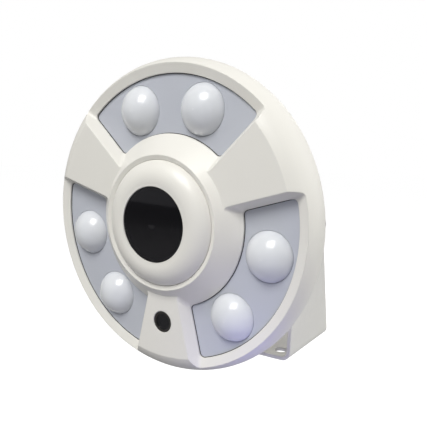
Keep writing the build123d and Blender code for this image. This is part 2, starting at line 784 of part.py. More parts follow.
def eye_glass():
    """The dark window of the light sensor."""
    top = SPOKE_HEIGHT - EYE_GLASS_SINK
    radius = EYE_R - EYE_RING_WALL - SLIDE_GAP
    return disc(radius, top - EYE_GLASS_T, top, polar(EYE_PITCH_R, SPOKE_ANGLES[2]))


def photocell():
    """The light-dependent resistor on its two leads."""
    top = SPOKE_HEIGHT - EYE_GLASS_SINK - EYE_GLASS_T - 4 * SLIDE_GAP
    body = disc(PHOTOCELL_R, top - PHOTOCELL_T, top)
    for x in (-1.2, 1.2):
        body += disc(0.35, LAMP_BOARD_FRONT, top - PHOTOCELL_T + 0.1, (x, 0))
    return Pos(*polar(EYE_PITCH_R, SPOKE_ANGLES[2])) * body


# ---------------------------------------------------------------- rear housing
def housing_outside():
    """The outer form of the rear housing."""
    edge = DRUM_EDGE_R
    centre = (DRUM_R - edge, -DRUM_BACK + edge)
    lean = edge * sin(radians(45))

    def at(r, z):
        return (r, 0, z)

    lines = [
        Polyline(
            at(0, FLANGE_FRONT),
            at(FLANGE_EDGE_R, FLANGE_FRONT),
            at(FLANGE_EDGE_R, FLANGE_BACK),
            at(DRUM_R, -SHOULDER_BEHIND),
            at(DRUM_R, centre[1]),
        ),
        ThreePointArc(
            at(DRUM_R, centre[1]),
            at(centre[0] + lean, centre[1] - lean),
            at(centre[0], -DRUM_BACK),
        ),
        Polyline(at(centre[0], -DRUM_BACK), at(0, -DRUM_BACK), at(0, FLANGE_FRONT)),
    ]
    edges = [edge for line in lines for edge in line.edges()]
    body = revolve(make_face(edges), Axis.Z)
    shoulder = [edge for edge in body.edges() if lies_at(edge, -SHOULDER_BEHIND)]
    return fillet(shoulder, SHOULDER_R)


def housing_inside():
    """The hollow of the rear housing."""
    mouth_r = SEAL_STEP_R - WALL
    drum_in = DRUM_R - HOUSING_WALL
    lift = HOUSING_WALL * sqrt(1 + SHOULDER_SLOPE**2)

    def slope_z(radius):
        return FLANGE_BACK - (FLANGE_EDGE_R - radius) * SHOULDER_SLOPE + lift

    corner = DRUM_EDGE_R - HOUSING_WALL
    return turned([
        (0, FLANGE_FRONT + 1),
        (mouth_r, FLANGE_FRONT + 1),
        (mouth_r, slope_z(mouth_r)),
        (drum_in, slope_z(drum_in)),
        (drum_in, BACK_INSIDE + corner),
        (drum_in - corner, BACK_INSIDE),
        (0, BACK_INSIDE),
    ])


def across(radius, x_near, x_far, side):
    """A round rod along x at the tilt axis, on one side of the head."""
    middle = side * (x_near + x_far) / 2
    rod = Rot(0, 90, 0) * Cylinder(radius, abs(x_far - x_near))
    return Pos(middle, 0, -FACE_TO_PIVOT) * rod


def rear_housing():
    """The white rear shell with its side bosses."""
    body = housing_outside()
    for side in (-1, 1):
        body += across(BOSS_R, DRUM_R - 8, BOSS_FACE, side)
    body -= housing_inside()
    inner_x = BOSS_FACE - INSERT_L - WALL - 1
    for side in (-1, 1):
        body += across(INSERT_R + WALL, inner_x, DRUM_R - HOUSING_WALL + ROOT, side)
        body -= across(INSERT_R + SLIDE_GAP / 2, BOSS_FACE - INSERT_L - 0.4, BOSS_FACE + 1, side)
    pillar_r = CASE_BOSS_R + 1
    for spot in case_screw_places():
        pillar = disc(pillar_r, -SHOULDER_BEHIND, FLANGE_FRONT, spot)
        body += pillar & housing_outside()
        body -= disc(M3_HEAD_R + SCREW_GAP, -SHOULDER_BEHIND - 1, CASE_SEAT, spot)
        body -= disc(M3_R + SCREW_GAP, -SHOULDER_BEHIND, FLANGE_FRONT + 1, spot)
    low = -DRUM_BACK - 1
    body -= disc(GLAND_THREAD_R + GAP, low, BACK_INSIDE + 1, (0, GLAND_OFFSET))
    body -= disc(BUTTON_R + SLIDE_GAP, low, BACK_INSIDE + 1, (RESET_X, RESET_Y))
    body -= plate(PLUG_W, PLUG_H, low, BACK_INSIDE + 1, (PLUG_X, PLUG_Y))
    for spot in square_places(STANDOFF_PITCH):
        body += tube(STANDOFF_R + WALL, STANDOFF_R + GAP, BACK_INSIDE - 0.1, BACK_INSIDE + 2, spot)
    return body


def case_seal():
    """The soft ring that keeps water out of the case."""
    return tube(FLANGE_EDGE_R, FLANGE_EDGE_R - SEAL_W, FLANGE_FRONT, -SEAL_STEP_BEHIND)


# ---------------------------------------------------------------- electronics
def main_board():
    """The round main circuit board."""
    board = disc(MAIN_BOARD_R, MAIN_BOARD_BACK, MAIN_BOARD_FRONT)
    for spot in square_places(STANDOFF_PITCH):
        board -= disc(M3_R + SCREW_GAP, MAIN_BOARD_BACK - 1, MAIN_BOARD_FRONT + 1, spot)
    return board


def standoffs():
    """Four hexagon pillars under the main board."""
    pieces = []
    for spot in square_places(STANDOFF_PITCH):
        height = MAIN_BOARD_BACK - BACK_INSIDE
        pillar = extrude(RegularPolygon(STANDOFF_R, 6), height)
        pillar -= disc(M3_R, height - 7, height + 1)
        pieces.append(Pos(spot[0], spot[1], BACK_INSIDE) * pillar)
    return pieces


def heat_sink():
    """The finned cooler on the processor."""
    base = MAIN_BOARD_FRONT + PROCESSOR_T
    fin_foot = base + COOLER_BASE_T - JOIN
    pitch = (COOLER_SIDE - FIN_T) / (FIN_COUNT - 1)
    body = plate(COOLER_SIDE, COOLER_SIDE, base, base + COOLER_BASE_T)
    for index in range(FIN_COUNT):
        x = (index - (FIN_COUNT - 1) / 2) * pitch
        body += plate(FIN_T, COOLER_SIDE, fin_foot, base + COOLER_H, (x, 0))
    return Pos(*PROCESSOR_AT, 0) * body


def on_board(width, height, thick, at):
    """A block standing on the front of the main board."""
    return plate(width, height, MAIN_BOARD_FRONT, MAIN_BOARD_FRONT + thick, at)


def capacitors():
    """Three round capacitors on the main board."""
    pieces = []
    for spot in CAPACITOR_PLACES:
        can = disc(CAPACITOR_R, MAIN_BOARD_FRONT, MAIN_BOARD_FRONT + CAPACITOR_H, spot)
        pieces.append(fillet(can.edges().group_by(Axis.Z)[-1], CAPACITOR_EDGE_R))
    return pieces


def wireless_module():
    """The wireless module with its shielding can."""
    board = on_board(MODULE_W, MODULE_L, MODULE_T, MODULE_AT)
    can_w = MODULE_W - 2 * MODULE_CAN_EDGE
    can_l = MODULE_L - 2 * MODULE_CAN_EDGE
    return board + on_board(can_w, can_l, MODULE_CAN_H, MODULE_AT)


def connectors():
    """Plug headers for the lamps, the power lead and the camera board."""
    pieces = []
    top = MAIN_BOARD_FRONT + HEADER_H
    floor = MAIN_BOARD_FRONT + HEADER_FLOOR
    for width, length, at in (LAMP_HEADER, POWER_HEADER, (LEAD_HEADER_W, LEAD_HEADER_L, LEAD_AT)):
        body = on_board(width, length, HEADER_H, at)
        cavity = plate(width - 2 * HEADER_WALL, length - 2 * HEADER_WALL, floor, top + 1, at)
        pieces.append(body - cavity)
    back = SENSOR_BOARD_BACK
    front = back - HEADER_H + HEADER_FLOOR
    room_w = LEAD_HEADER_W - 2 * HEADER_WALL
    room_l = LEAD_HEADER_L - 2 * HEADER_WALL
    body = plate(LEAD_HEADER_W, LEAD_HEADER_L, front, back, LEAD_AT)
    pieces.append(body - plate(room_w, room_l, front - 1, back - HEADER_FLOOR, LEAD_AT))
    return pieces


def camera_ribbon():
    """The flat lead between the camera board and the main board."""
    low = MAIN_BOARD_FRONT + HEADER_FLOOR
    return plate(LEAD_W, LEAD_T, low, SENSOR_BOARD_BACK - HEADER_FLOOR, LEAD_AT)


def antenna():
    """The flat aerial inside the top of the drum."""
    y = DRUM_R - HOUSING_WALL - ANTENNA_ROOM
    return Pos(0, y, ANTENNA_Z) * Box(ANTENNA_W, ANTENNA_T, ANTENNA_L)


# ---------------------------------------------------------------- rear face pieces
def gland_body():
    """The cable gland's hexagon body and thread."""
    low = -DRUM_BACK - GLAND_BASE_H
    foot = low - GLAND_STEM_L
    inner_end = BACK_INSIDE + GLAND_THREAD_INSIDE
    hexagon = RegularPolygon(GLAND_HEX / 2, 6, major_radius=False)
    body = Pos(0, 0, low) * extrude(hexagon, GLAND_BASE_H)
    body += disc(GLAND_THREAD_R, -DRUM_BACK - JOIN, inner_end)
    body += disc(GLAND_STEM_R, foot, low + JOIN)
    body -= disc(GLAND_BORE_R, foot - 1, inner_end + 1)
    body -= disc(GLAND_SLEEVE_R + SLIDE_GAP, foot - 1, low - GLAND_SLEEVE_DEPTH)
    return Pos(0, GLAND_OFFSET, 0) * body


def gland_seal():
    """The rubber sleeve inside the gland."""
    low = -DRUM_BACK - GLAND_BASE_H
    foot = low - GLAND_STEM_L - GLAND_SLEEVE_OUT
    top = low - GLAND_SLEEVE_DEPTH
    return tube(GLAND_SLEEVE_R, GLAND_BORE_R, foot, top, (0, GLAND_OFFSET))


def gland_nut():
    """The domed nut of the gland, with grip ribs."""
    low = -DRUM_BACK - GLAND_BASE_H - GLAND_NUT_H
    top = -DRUM_BACK - GLAND_BASE_H
    body = disc(GLAND_NUT_R, low, top)
    body = fillet(body.edges().group_by(Axis.Z)[0], GLAND_NUT_EDGE_R)
    for index in range(GLAND_GRIPS):
        spot = polar(GLAND_NUT_R + ROOT, index * 360 / GLAND_GRIPS)
        body -= disc(GLAND_GRIP_R, low + GLAND_NUT_EDGE_R, top + 1, spot)
    body -= disc(GLAND_STEM_R + GAP, low + GLAND_NUT_LIP, top + 1)
    body -= disc(GLAND_BORE_R + GAP, low - 1, low + GLAND_NUT_LIP + 1)
    return Pos(0, GLAND_OFFSET, 0) * body


def gland_locknut():
    """The flat nut of the gland inside the case."""
    nut = extrude(RegularPolygon(GLAND_HEX / 2, 6, major_radius=False), LOCKNUT_H)
    nut -= disc(GLAND_THREAD_R + SLIDE_GAP / 2, -1, LOCKNUT_H + 1)
    return Pos(0, GLAND_OFFSET, BACK_INSIDE) * nut


def reset_button():
    """The push button in the back."""
    flange_top = BACK_INSIDE + BUTTON_FLANGE_W
    body = disc(BUTTON_R, -DRUM_BACK - BUTTON_OUT, flange_top - ROOT)
    body = fillet(body.edges().group_by(Axis.Z)[0], BUTTON_EDGE_R)
    body += disc(BUTTON_R + BUTTON_FLANGE_W, BACK_INSIDE + SLIDE_GAP, flange_top)
    body += disc(BUTTON_STEM_R, flange_top - JOIN, BACK_INSIDE + BUTTON_STEM_TOP)
    return Pos(RESET_X, RESET_Y, 0) * body


def reset_switch():
    """The switch that the button presses."""
    tip = BACK_INSIDE + BUTTON_STEM_TOP + BUTTON_TRAVEL + SLIDE_GAP
    body = plate(SWITCH_SIDE, SWITCH_SIDE, tip + SWITCH_TIP_H, MAIN_BOARD_BACK)
    body += disc(SWITCH_TIP_R, tip, tip + SWITCH_TIP_H + JOIN)
    return Pos(RESET_X, RESET_Y, 0) * body


def card_plug():
    """The rubber plug over the memory card opening."""
    body = plate(PLUG_W - 2 * GAP, PLUG_H - 2 * GAP, -DRUM_BACK - JOIN, BACK_INSIDE)
    lip_w = PLUG_W + 2 * PLUG_LIP_W
    lip_h = PLUG_H + 2 * PLUG_LIP_W
    lip = plate(lip_w, lip_h, -DRUM_BACK - PLUG_LIP_T, -DRUM_BACK)
    lip = fillet(lip.edges().filter_by(Axis.Z), PLUG_CORNER_R)
    return Pos(PLUG_X, PLUG_Y, 0) * (body + lip)


def card_socket():
    """The memory card socket behind the plug."""
    mouth = BACK_INSIDE + CARD_SOCKET_LIFT
    body = plate(CARD_SOCKET_W, CARD_SOCKET_H, mouth, MAIN_BOARD_BACK)
    body -= plate(CARD_W, CARD_T, mouth - 1, MAIN_BOARD_BACK - CARD_STOP)
    return Pos(PLUG_X, PLUG_Y, 0) * body


# ---------------------------------------------------------------- tilt hardware
def both_sides(make):
    """The same piece on the left and the right of the head."""
    return [make(side) for side in (-1, 1)]


def ring_across(outer, inner, x_near, x_far, side):
    """A washer on the tilt axis."""
    return across(outer, x_near, x_far, side) - across(inner, x_near - 1, x_far + 1, side)


def threaded_insert(side):
    """The brass insert that a tilt bolt screws into."""
    start = BOSS_FACE - INSERT_L
    return ring_across(INSERT_R, BOLT_R + SLIDE_GAP / 2, start, BOSS_FACE - 0.1, side)


def friction_washer(side):
    """The plastic washer between boss and arm."""
    return ring_across(FRICTION_R, BOLT_R + SCREW_GAP, BOSS_FACE, BOSS_FACE + FRICTION_T, side)


def flat_washer(side):
    """The steel washer outside the arm."""
    return ring_across(WASHER_R, BOLT_R + SCREW_GAP, WASHER_X, SPRING_X, side)


def spring_washer(side):
    """The split spring washer under the bolt head."""
    ring = ring_across(SPRING_WASHER_R, BOLT_R + SCREW_GAP, SPRING_X, BOLT_SEAT_X, side)
    middle = side * (SPRING_X + BOLT_SEAT_X) / 2
    slit = Rot(20, 0, 0) * Box(2 * SPRING_WASHER_T, 0.8, 3 * SPRING_WASHER_R)
    keep_half = Pos(0, 0, 1.5 * SPRING_WASHER_R) * slit
    return ring - Pos(middle, 0, -FACE_TO_PIVOT) * keep_half


def pivot_bolt(side):
    """The button-head bolt with a hexagon socket."""
    head = disc(BOLT_HEAD_R, 0, BOLT_HEAD_H)
    head = fillet(head.edges().group_by(Axis.Z)[-1], BOLT_HEAD_H * 0.6)
    socket = extrude(RegularPolygon(HEX_ACROSS / 2, 6, major_radius=False), BOLT_HEAD_H)
    body = head + disc(BOLT_R, -BOLT_LENGTH, 0.1)
    body -= Pos(0, 0, BOLT_HEAD_H * 0.35) * socket
    return Pos(side * BOLT_SEAT_X, 0, -FACE_TO_PIVOT) * Rot(0, 90 * side, 0) * body


# ---------------------------------------------------------------- yoke
def arm_outline():
    """The side view of the yoke: base corners joined to the round arm top."""
    half = BASE_DEPTH / 2
    points = [(-half, 0), (half, 0)]
    for corner in ((half, 0), (-half, 0)):
        dy = PIVOT_Y - corner[0]
        dz = PIVOT_HEIGHT - corner[1]
        reach = sqrt(dy**2 + dz**2)
        turn = atan2(sqrt(reach**2 - ARM_TOP_R**2), ARM_TOP_R)
        back = atan2(-dz, -dy)
        a = back + turn if corner[0] > 0 else back - turn
        points.append((PIVOT_Y + ARM_TOP_R * cos(a), PIVOT_HEIGHT + ARM_TOP_R * sin(a)))
    panel = make_face(Polyline(*points, close=True))
    return panel + Pos(PIVOT_Y, PIVOT_HEIGHT) * Circle(ARM_TOP_R)


def yoke():
    """The bent sheet-metal yoke with its mounting holes and tilt holes."""
    tall = PIVOT_HEIGHT + ARM_TOP_R + 1
    outer_r = BEND_R + SHEET_T
    strip = Pos(0, 0, tall / 2) * Box(2 * YOKE_HALF_W, BASE_DEPTH, tall)
    strip = fillet(strip.edges().filter_by(Axis.Y).group_by(Axis.Z)[0], outer_r)
    inside = Pos(0, 0, SHEET_T + tall / 2) * Box(2 * ARM_GAP, BASE_DEPTH + 2, tall)
    inside = fillet(inside.edges().filter_by(Axis.Y).group_by(Axis.Z)[0], BEND_R)
    side_view = Plane.YZ * arm_outline()
    body = (strip - inside) & extrude(side_view, YOKE_HALF_W + 1, both=True)
    for x in (-MOUNT_SPACING_X / 2, MOUNT_SPACING_X / 2):
        for y in (-MOUNT_SPACING_Y / 2, MOUNT_SPACING_Y / 2):
            body -= disc(MOUNT_HOLE_R, -1, SHEET_T + 1, (x, y))
    body = fillet(body.edges(), SHEET_EDGE_R)
    hole = Rot(0, 90, 0) * Cylinder(BOLT_R + SLIDE_GAP, 2 * YOKE_HALF_W + 4)
    return body - Pos(0, PIVOT_Y, PIVOT_HEIGHT) * hole


# ---------------------------------------------------------------- the whole object
def group(pieces):
    """Several equal pieces in one node."""
    return Compound(children=list(pieces))


def case_screws():
    """The screws that join the housing to the bezel."""
    return [
        screw(spot, CASE_SEAT, CASE_SCREW_L, M3_R - THREAD_EASE, M3_HEAD_R, M3_HEAD_H)
        for spot in case_screw_places()
    ]


def lamp_screws():
    """The screws that hold the lamp board and its spreader."""
    return [
        screw(spot, SPREADER_BACK, LAMP_SCREW_L, M25_R - THREAD_EASE, M25_HEAD_R, M25_HEAD_H)
        for spot in lamp_screw_places()
    ]


def camera_screws():
    """The screws that hold the camera board."""
    return [
        screw(spot, SENSOR_BOARD_BACK, CAMERA_SCREW_L, M25_R - THREAD_EASE, M25_HEAD_R, M25_HEAD_H)
        for spot in square_places(POST_PITCH)
    ]


def board_screws():
    """The screws that hold the main board on its pillars."""
    return [
        screw(spot, MAIN_BOARD_FRONT, BOARD_SCREW_L, M3_R - THREAD_EASE, M3_HEAD_R, M3_HEAD_H, up=1)
        for spot in square_places(STANDOFF_PITCH)
    ]


def build():
    """Writes every node of the camera."""
    os.makedirs("parts", exist_ok=True)
    place = HEAD.location
    single = {
        "front_bezel": front_bezel(),
        "centre_cap": centre_cap(),
        "front_window": front_window(),
        "lens_shroud": lens_shroud(),
        "lens_barrel": lens_barrel(),
        "front_lens": front_lens(),
        "lens_ring": lens_ring(),
        "rear_lens": rear_lens(),
        "lens_holder": lens_holder(),
        "filter_slide": filter_slide(),
        "infrared_filter": slide_filter(0),
        "clear_filter": slide_filter(FILTER_TRAVEL),
        "filter_motor": filter_motor(),
        "sensor_board": sensor_board(),
        "image_sensor": image_sensor(),
        "lamp_board": lamp_ring(LAMP_BOARD_BACK, LAMP_BOARD_FRONT),
        "heat_spreader": lamp_ring(SPREADER_BACK, LAMP_BOARD_BACK),
        "eye_ring": eye_ring(),
        "eye_glass": eye_glass(),
        "photocell": photocell(),
        "rear_housing": rear_housing(),
        "case_seal": case_seal(),
        "main_board": main_board(),
        "processor": on_board(PROCESSOR_SIDE, PROCESSOR_SIDE, PROCESSOR_T, PROCESSOR_AT),
        "heat_sink": heat_sink(),
        "wireless_module": wireless_module(),
        "camera_ribbon": camera_ribbon(),
        "antenna": antenna(),
        "gland_body": gland_body(),
        "gland_seal": gland_seal(),
        "gland_nut": gland_nut(),
        "gland_locknut": gland_locknut(),
        "reset_button": reset_button(),
        "reset_switch": reset_switch(),
        "card_plug": card_plug(),
        "card_socket": card_socket(),
    }
    for index, panel in enumerate(lamp_panels(), start=1):
        single[f"lamp_panel_{index}"] = panel
    for index, spot in enumerate(lamp_places(), start=1):
        single[f"dome_lens_{index}"] = dome_lens(spot)
    groups = {
        "lamp_arrays": [lamp_array(spot) for spot in lamp_places()],
        "case_screws": case_screws(),
        "lamp_screws": lamp_screws(),
        "camera_screws": camera_screws(),
        "board_screws": board_screws(),
        "standoffs": standoffs(),
        "capacitors": capacitors(),
        "connectors": connectors(),
        "threaded_inserts": both_sides(threaded_insert),
        "friction_washers": both_sides(friction_washer),
        "flat_washers": both_sides(flat_washer),
        "spring_washers": both_sides(spring_washer),
        "pivot_bolts": both_sides(pivot_bolt),
    }
    for name, shape in single.items():
        write(name, shape, place)
    for name, pieces in groups.items():
        write(name, group(pieces), place)
    write("yoke", yoke())


if __name__ == "__main__":
    build()
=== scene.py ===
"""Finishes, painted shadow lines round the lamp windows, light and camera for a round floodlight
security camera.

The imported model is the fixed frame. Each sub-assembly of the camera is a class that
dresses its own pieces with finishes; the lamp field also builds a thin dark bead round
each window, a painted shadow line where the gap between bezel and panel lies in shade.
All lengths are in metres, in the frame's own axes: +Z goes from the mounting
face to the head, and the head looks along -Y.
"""
import json
import logging
import math
from dataclasses import dataclass, field
from enum import Enum

import bmesh
import bpy
from mathutils import Matrix, Vector


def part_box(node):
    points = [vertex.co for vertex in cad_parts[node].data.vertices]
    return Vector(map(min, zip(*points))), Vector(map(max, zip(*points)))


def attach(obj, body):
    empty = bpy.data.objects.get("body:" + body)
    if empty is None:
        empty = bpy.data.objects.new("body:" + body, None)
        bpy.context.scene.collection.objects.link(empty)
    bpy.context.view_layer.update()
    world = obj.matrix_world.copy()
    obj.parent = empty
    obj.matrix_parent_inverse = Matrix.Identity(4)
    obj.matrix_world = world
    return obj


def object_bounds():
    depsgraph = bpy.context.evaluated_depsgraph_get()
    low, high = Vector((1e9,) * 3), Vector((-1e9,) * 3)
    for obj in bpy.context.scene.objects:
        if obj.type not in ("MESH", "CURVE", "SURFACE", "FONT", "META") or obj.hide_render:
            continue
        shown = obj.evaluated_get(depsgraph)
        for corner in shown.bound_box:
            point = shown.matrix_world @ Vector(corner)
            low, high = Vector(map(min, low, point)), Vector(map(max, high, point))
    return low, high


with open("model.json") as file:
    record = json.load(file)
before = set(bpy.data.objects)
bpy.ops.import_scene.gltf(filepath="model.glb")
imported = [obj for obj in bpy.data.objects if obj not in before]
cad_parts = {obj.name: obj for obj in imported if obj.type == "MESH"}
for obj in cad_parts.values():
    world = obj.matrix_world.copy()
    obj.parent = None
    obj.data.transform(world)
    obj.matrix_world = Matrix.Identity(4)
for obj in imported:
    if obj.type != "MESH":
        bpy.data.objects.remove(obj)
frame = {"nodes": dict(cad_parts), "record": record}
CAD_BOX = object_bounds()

logging.basicConfig(level=logging.INFO, format="%(name)s: %(message)s")
LOG = logging.getLogger("floodlight camera")

MM = 0.001
SAME_PLACE = 1e-6
SHARPEST_CORNER = 0.5
Triple = tuple[float, float, float]
Value = bpy.types.NodeSocket | float
Tint = bpy.types.NodeSocket | Triple

# What the shared effects have in common
FLAT_POINTINESS = 0.53
SHARP_POINTINESS = 0.62
PIT_SHARE = 0.6
BRUSH_STRETCH: Triple = (1.0, 14.0, 1.0)

# What the finishes have in common
DUST_COLOUR: Triple = (0.5, 0.48, 0.44)
WHITE: Triple = (1.0, 1.0, 1.0)
EDGE_SAMPLES = 6
SMOOTHEST = 0.02
RUBBED_GAIN = 1.12
RUBBED_LIFT = 0.01
WHITEST = 0.95


# ------------------------------------------------------------------ shared effects
class Effect(Enum):
    """The shader node groups that several finishes share."""

    GRAIN = "moulded_grain"
    BRUSH = "brushed_lines"
    DUST = "settled_dust"
    WEAR = "rubbed_edges"
    FADE = "foot_fade"


@dataclass
class GroupMaker:
    """Builds one shader node group from named inputs to named outputs.

    Attributes:
        effect: The effect that the group stands for.
        inputs: The inputs, each with its default value.
        outputs: The names of the outputs, all plain values.
    """

    effect: Effect
    inputs: dict[str, float]
    outputs: tuple[str, ...]
    tree: bpy.types.NodeTree = field(init=False)
    source: bpy.types.Node = field(init=False)
    sink: bpy.types.Node = field(init=False)

    def __post_init__(self) -> None:
        """Creates the empty group with its sockets."""
        self.tree = bpy.data.node_groups.new(self.effect.value, "ShaderNodeTree")
        for name, value in self.inputs.items():
            socket = self.tree.interface.new_socket(
                name=name, in_out="INPUT", socket_type="NodeSocketFloat"
            )
            socket.default_value = value
        for name in self.outputs:
            self.tree.interface.new_socket(
                name=name, in_out="OUTPUT", socket_type="NodeSocketFloat"
            )
        self.source = self.tree.nodes.new("NodeGroupInput")
        self.sink = self.tree.nodes.new("NodeGroupOutput")

    def node(self, kind: str, **settings: object) -> bpy.types.Node:
        """Adds a node and sets its properties.

        Args:
            kind: The node's type name.
            **settings: Properties of the node.

        Returns:
            The new node.
        """
        made = self.tree.nodes.new(kind)
        for name, value in settings.items():
            setattr(made, name, value)
        return made

    def link(self, start: bpy.types.NodeSocket, end: bpy.types.NodeSocket) -> None:
        """Joins two sockets."""
        self.tree.links.new(start, end)

    def feed(self, value: Value, end: bpy.types.NodeSocket) -> None:
        """Joins a socket to an input, or sets the input to a number."""
        if isinstance(value, bpy.types.NodeSocket):
            self.link(value, end)
        else:
            end.default_value = value

    def math(self, operation: str, first: Value, second: Value) -> bpy.types.NodeSocket:
        """Adds a math node.

        Args:
            operation: The math operation.
            first: A socket or a number.
            second: A socket or a number.

        Returns:
            The result socket.
        """
        made = self.node("ShaderNodeMath", operation=operation)
        self.feed(first, made.inputs[0])
        self.feed(second, made.inputs[1])
        return made.outputs[0]

    def place(self, stretch: Triple = (1.0, 1.0, 1.0)) -> bpy.types.NodeSocket:
        """Adds the piece's own coordinates, stretched along its axes.

        Args:
            stretch: The scale along X, Y and Z.

        Returns:
            The coordinate socket.
        """
        coordinates = self.node("ShaderNodeTexCoord")
        mapping = self.node("ShaderNodeMapping")
        mapping.inputs["Scale"].default_value = stretch
        self.link(coordinates.outputs["Object"], mapping.inputs["Vector"])
        return mapping.outputs["Vector"]

    def noise(self, place: bpy.types.NodeSocket, scale: Value,
              detail: float) -> bpy.types.NodeSocket:
        """Adds a noise texture.

        Args:
            place: The coordinate socket.
            scale: A socket or a number.
            detail: The number of octaves.

        Returns:
            The noise value socket, from 0 to 1.
        """
        made = self.node("ShaderNodeTexNoise")
        self.link(place, made.inputs["Vector"])
        self.feed(scale, made.inputs["Scale"])
        made.inputs["Detail"].default_value = detail
        return made.outputs["Fac"]

    def give(self, name: str, socket: bpy.types.NodeSocket) -> None:
        """Feeds an output of the group."""
        self.link(socket, self.sink.inputs[name])


def make_grain() -> bpy.types.NodeTree:
    """Fine spark-eroded grain with a broad mottle under it."""
    maker = GroupMaker(
        Effect.GRAIN,
        {"Grain per metre": 2600.0, "Mottle per metre": 26.0},
        ("Height", "Mottle"),
    )
    place = maker.place()
    grain = maker.noise(place, maker.source.outputs["Grain per metre"], 3.0)
    pits = maker.node("ShaderNodeTexVoronoi", feature="SMOOTH_F1")
    maker.link(place, pits.inputs["Vector"])
    maker.link(maker.source.outputs["Grain per metre"], pits.inputs["Scale"])
    depth = maker.math("MULTIPLY", pits.outputs["Distance"], PIT_SHARE)
    maker.give("Height", maker.math("ADD", grain, depth))
    maker.give("Mottle", maker.noise(place, maker.source.outputs["Mottle per metre"], 4.0))
    return maker.tree


def make_brush() -> bpy.types.NodeTree:
    """Fine lines of turned or brushed metal, with a slow change of tone."""
    maker = GroupMaker(
        Effect.BRUSH,
        {"Lines per metre": 900.0, "Tone per metre": 60.0},
        ("Height", "Tone"),
    )
    across = maker.place(BRUSH_STRETCH)
    maker.give("Height", maker.noise(across, maker.source.outputs["Lines per metre"], 2.0))
    plain = maker.place()
    maker.give("Tone", maker.noise(plain, maker.source.outputs["Tone per metre"], 3.0))
    return maker.tree


def make_dust() -> bpy.types.NodeTree:
    """Thin dust that settles on faces turned upwards."""
    maker = GroupMaker(Effect.DUST, {"Amount": 0.1, "Patch per metre": 90.0}, ("Mask",))
    geometry = maker.node("ShaderNodeNewGeometry")
    split = maker.node("ShaderNodeSeparateXYZ")
    maker.link(geometry.outputs["Normal"], split.inputs[0])
    upward = maker.math("MAXIMUM", split.outputs["Z"], 0.0)
    patch = maker.noise(maker.place(), maker.source.outputs["Patch per metre"], 6.0)
    patchy = maker.math("MULTIPLY", upward, patch)
    maker.give("Mask", maker.math("MULTIPLY", patchy, maker.source.outputs["Amount"]))
    return maker.tree


def make_wear() -> bpy.types.NodeTree:
    """A broken mask along the raised edges, where hands and cloths rub."""
    maker = GroupMaker(Effect.WEAR, {"Amount": 0.3, "Break per metre": 260.0}, ("Mask",))
    geometry = maker.node("ShaderNodeNewGeometry")
    ramp = maker.node("ShaderNodeMapRange")
    ramp.inputs["From Min"].default_value = FLAT_POINTINESS
    ramp.inputs["From Max"].default_value = SHARP_POINTINESS
    maker.link(geometry.outputs["Pointiness"], ramp.inputs["Value"])
    broken = maker.noise(maker.place(), maker.source.outputs["Break per metre"], 4.0)
    rubbed = maker.math("MULTIPLY", ramp.outputs["Result"], broken)
    maker.give("Mask", maker.math("MULTIPLY", rubbed, maker.source.outputs["Amount"]))
    return maker.tree


def make_fade() -> bpy.types.NodeTree:
    """How far a point stands in front of a foot along the piece's own Y."""
    maker = GroupMaker(Effect.FADE, {"Foot": 0.0, "Full": 1.0}, ("Mask",))
    split = maker.node("ShaderNodeSeparateXYZ")
    maker.link(maker.place(), split.inputs[0])
    ramp = maker.node("ShaderNodeMapRange", interpolation_type="SMOOTHSTEP")
    maker.link(split.outputs["Y"], ramp.inputs["Value"])
    maker.link(maker.source.outputs["Foot"], ramp.inputs["From Min"])
    maker.link(maker.source.outputs["Full"], ramp.inputs["From Max"])
    maker.give("Mask", ramp.outputs["Result"])
    return maker.tree


EFFECTS = {
    Effect.GRAIN: make_grain(),
    Effect.BRUSH: make_brush(),
    Effect.DUST: make_dust(),
    Effect.WEAR: make_wear(),
    Effect.FADE: make_fade(),
}


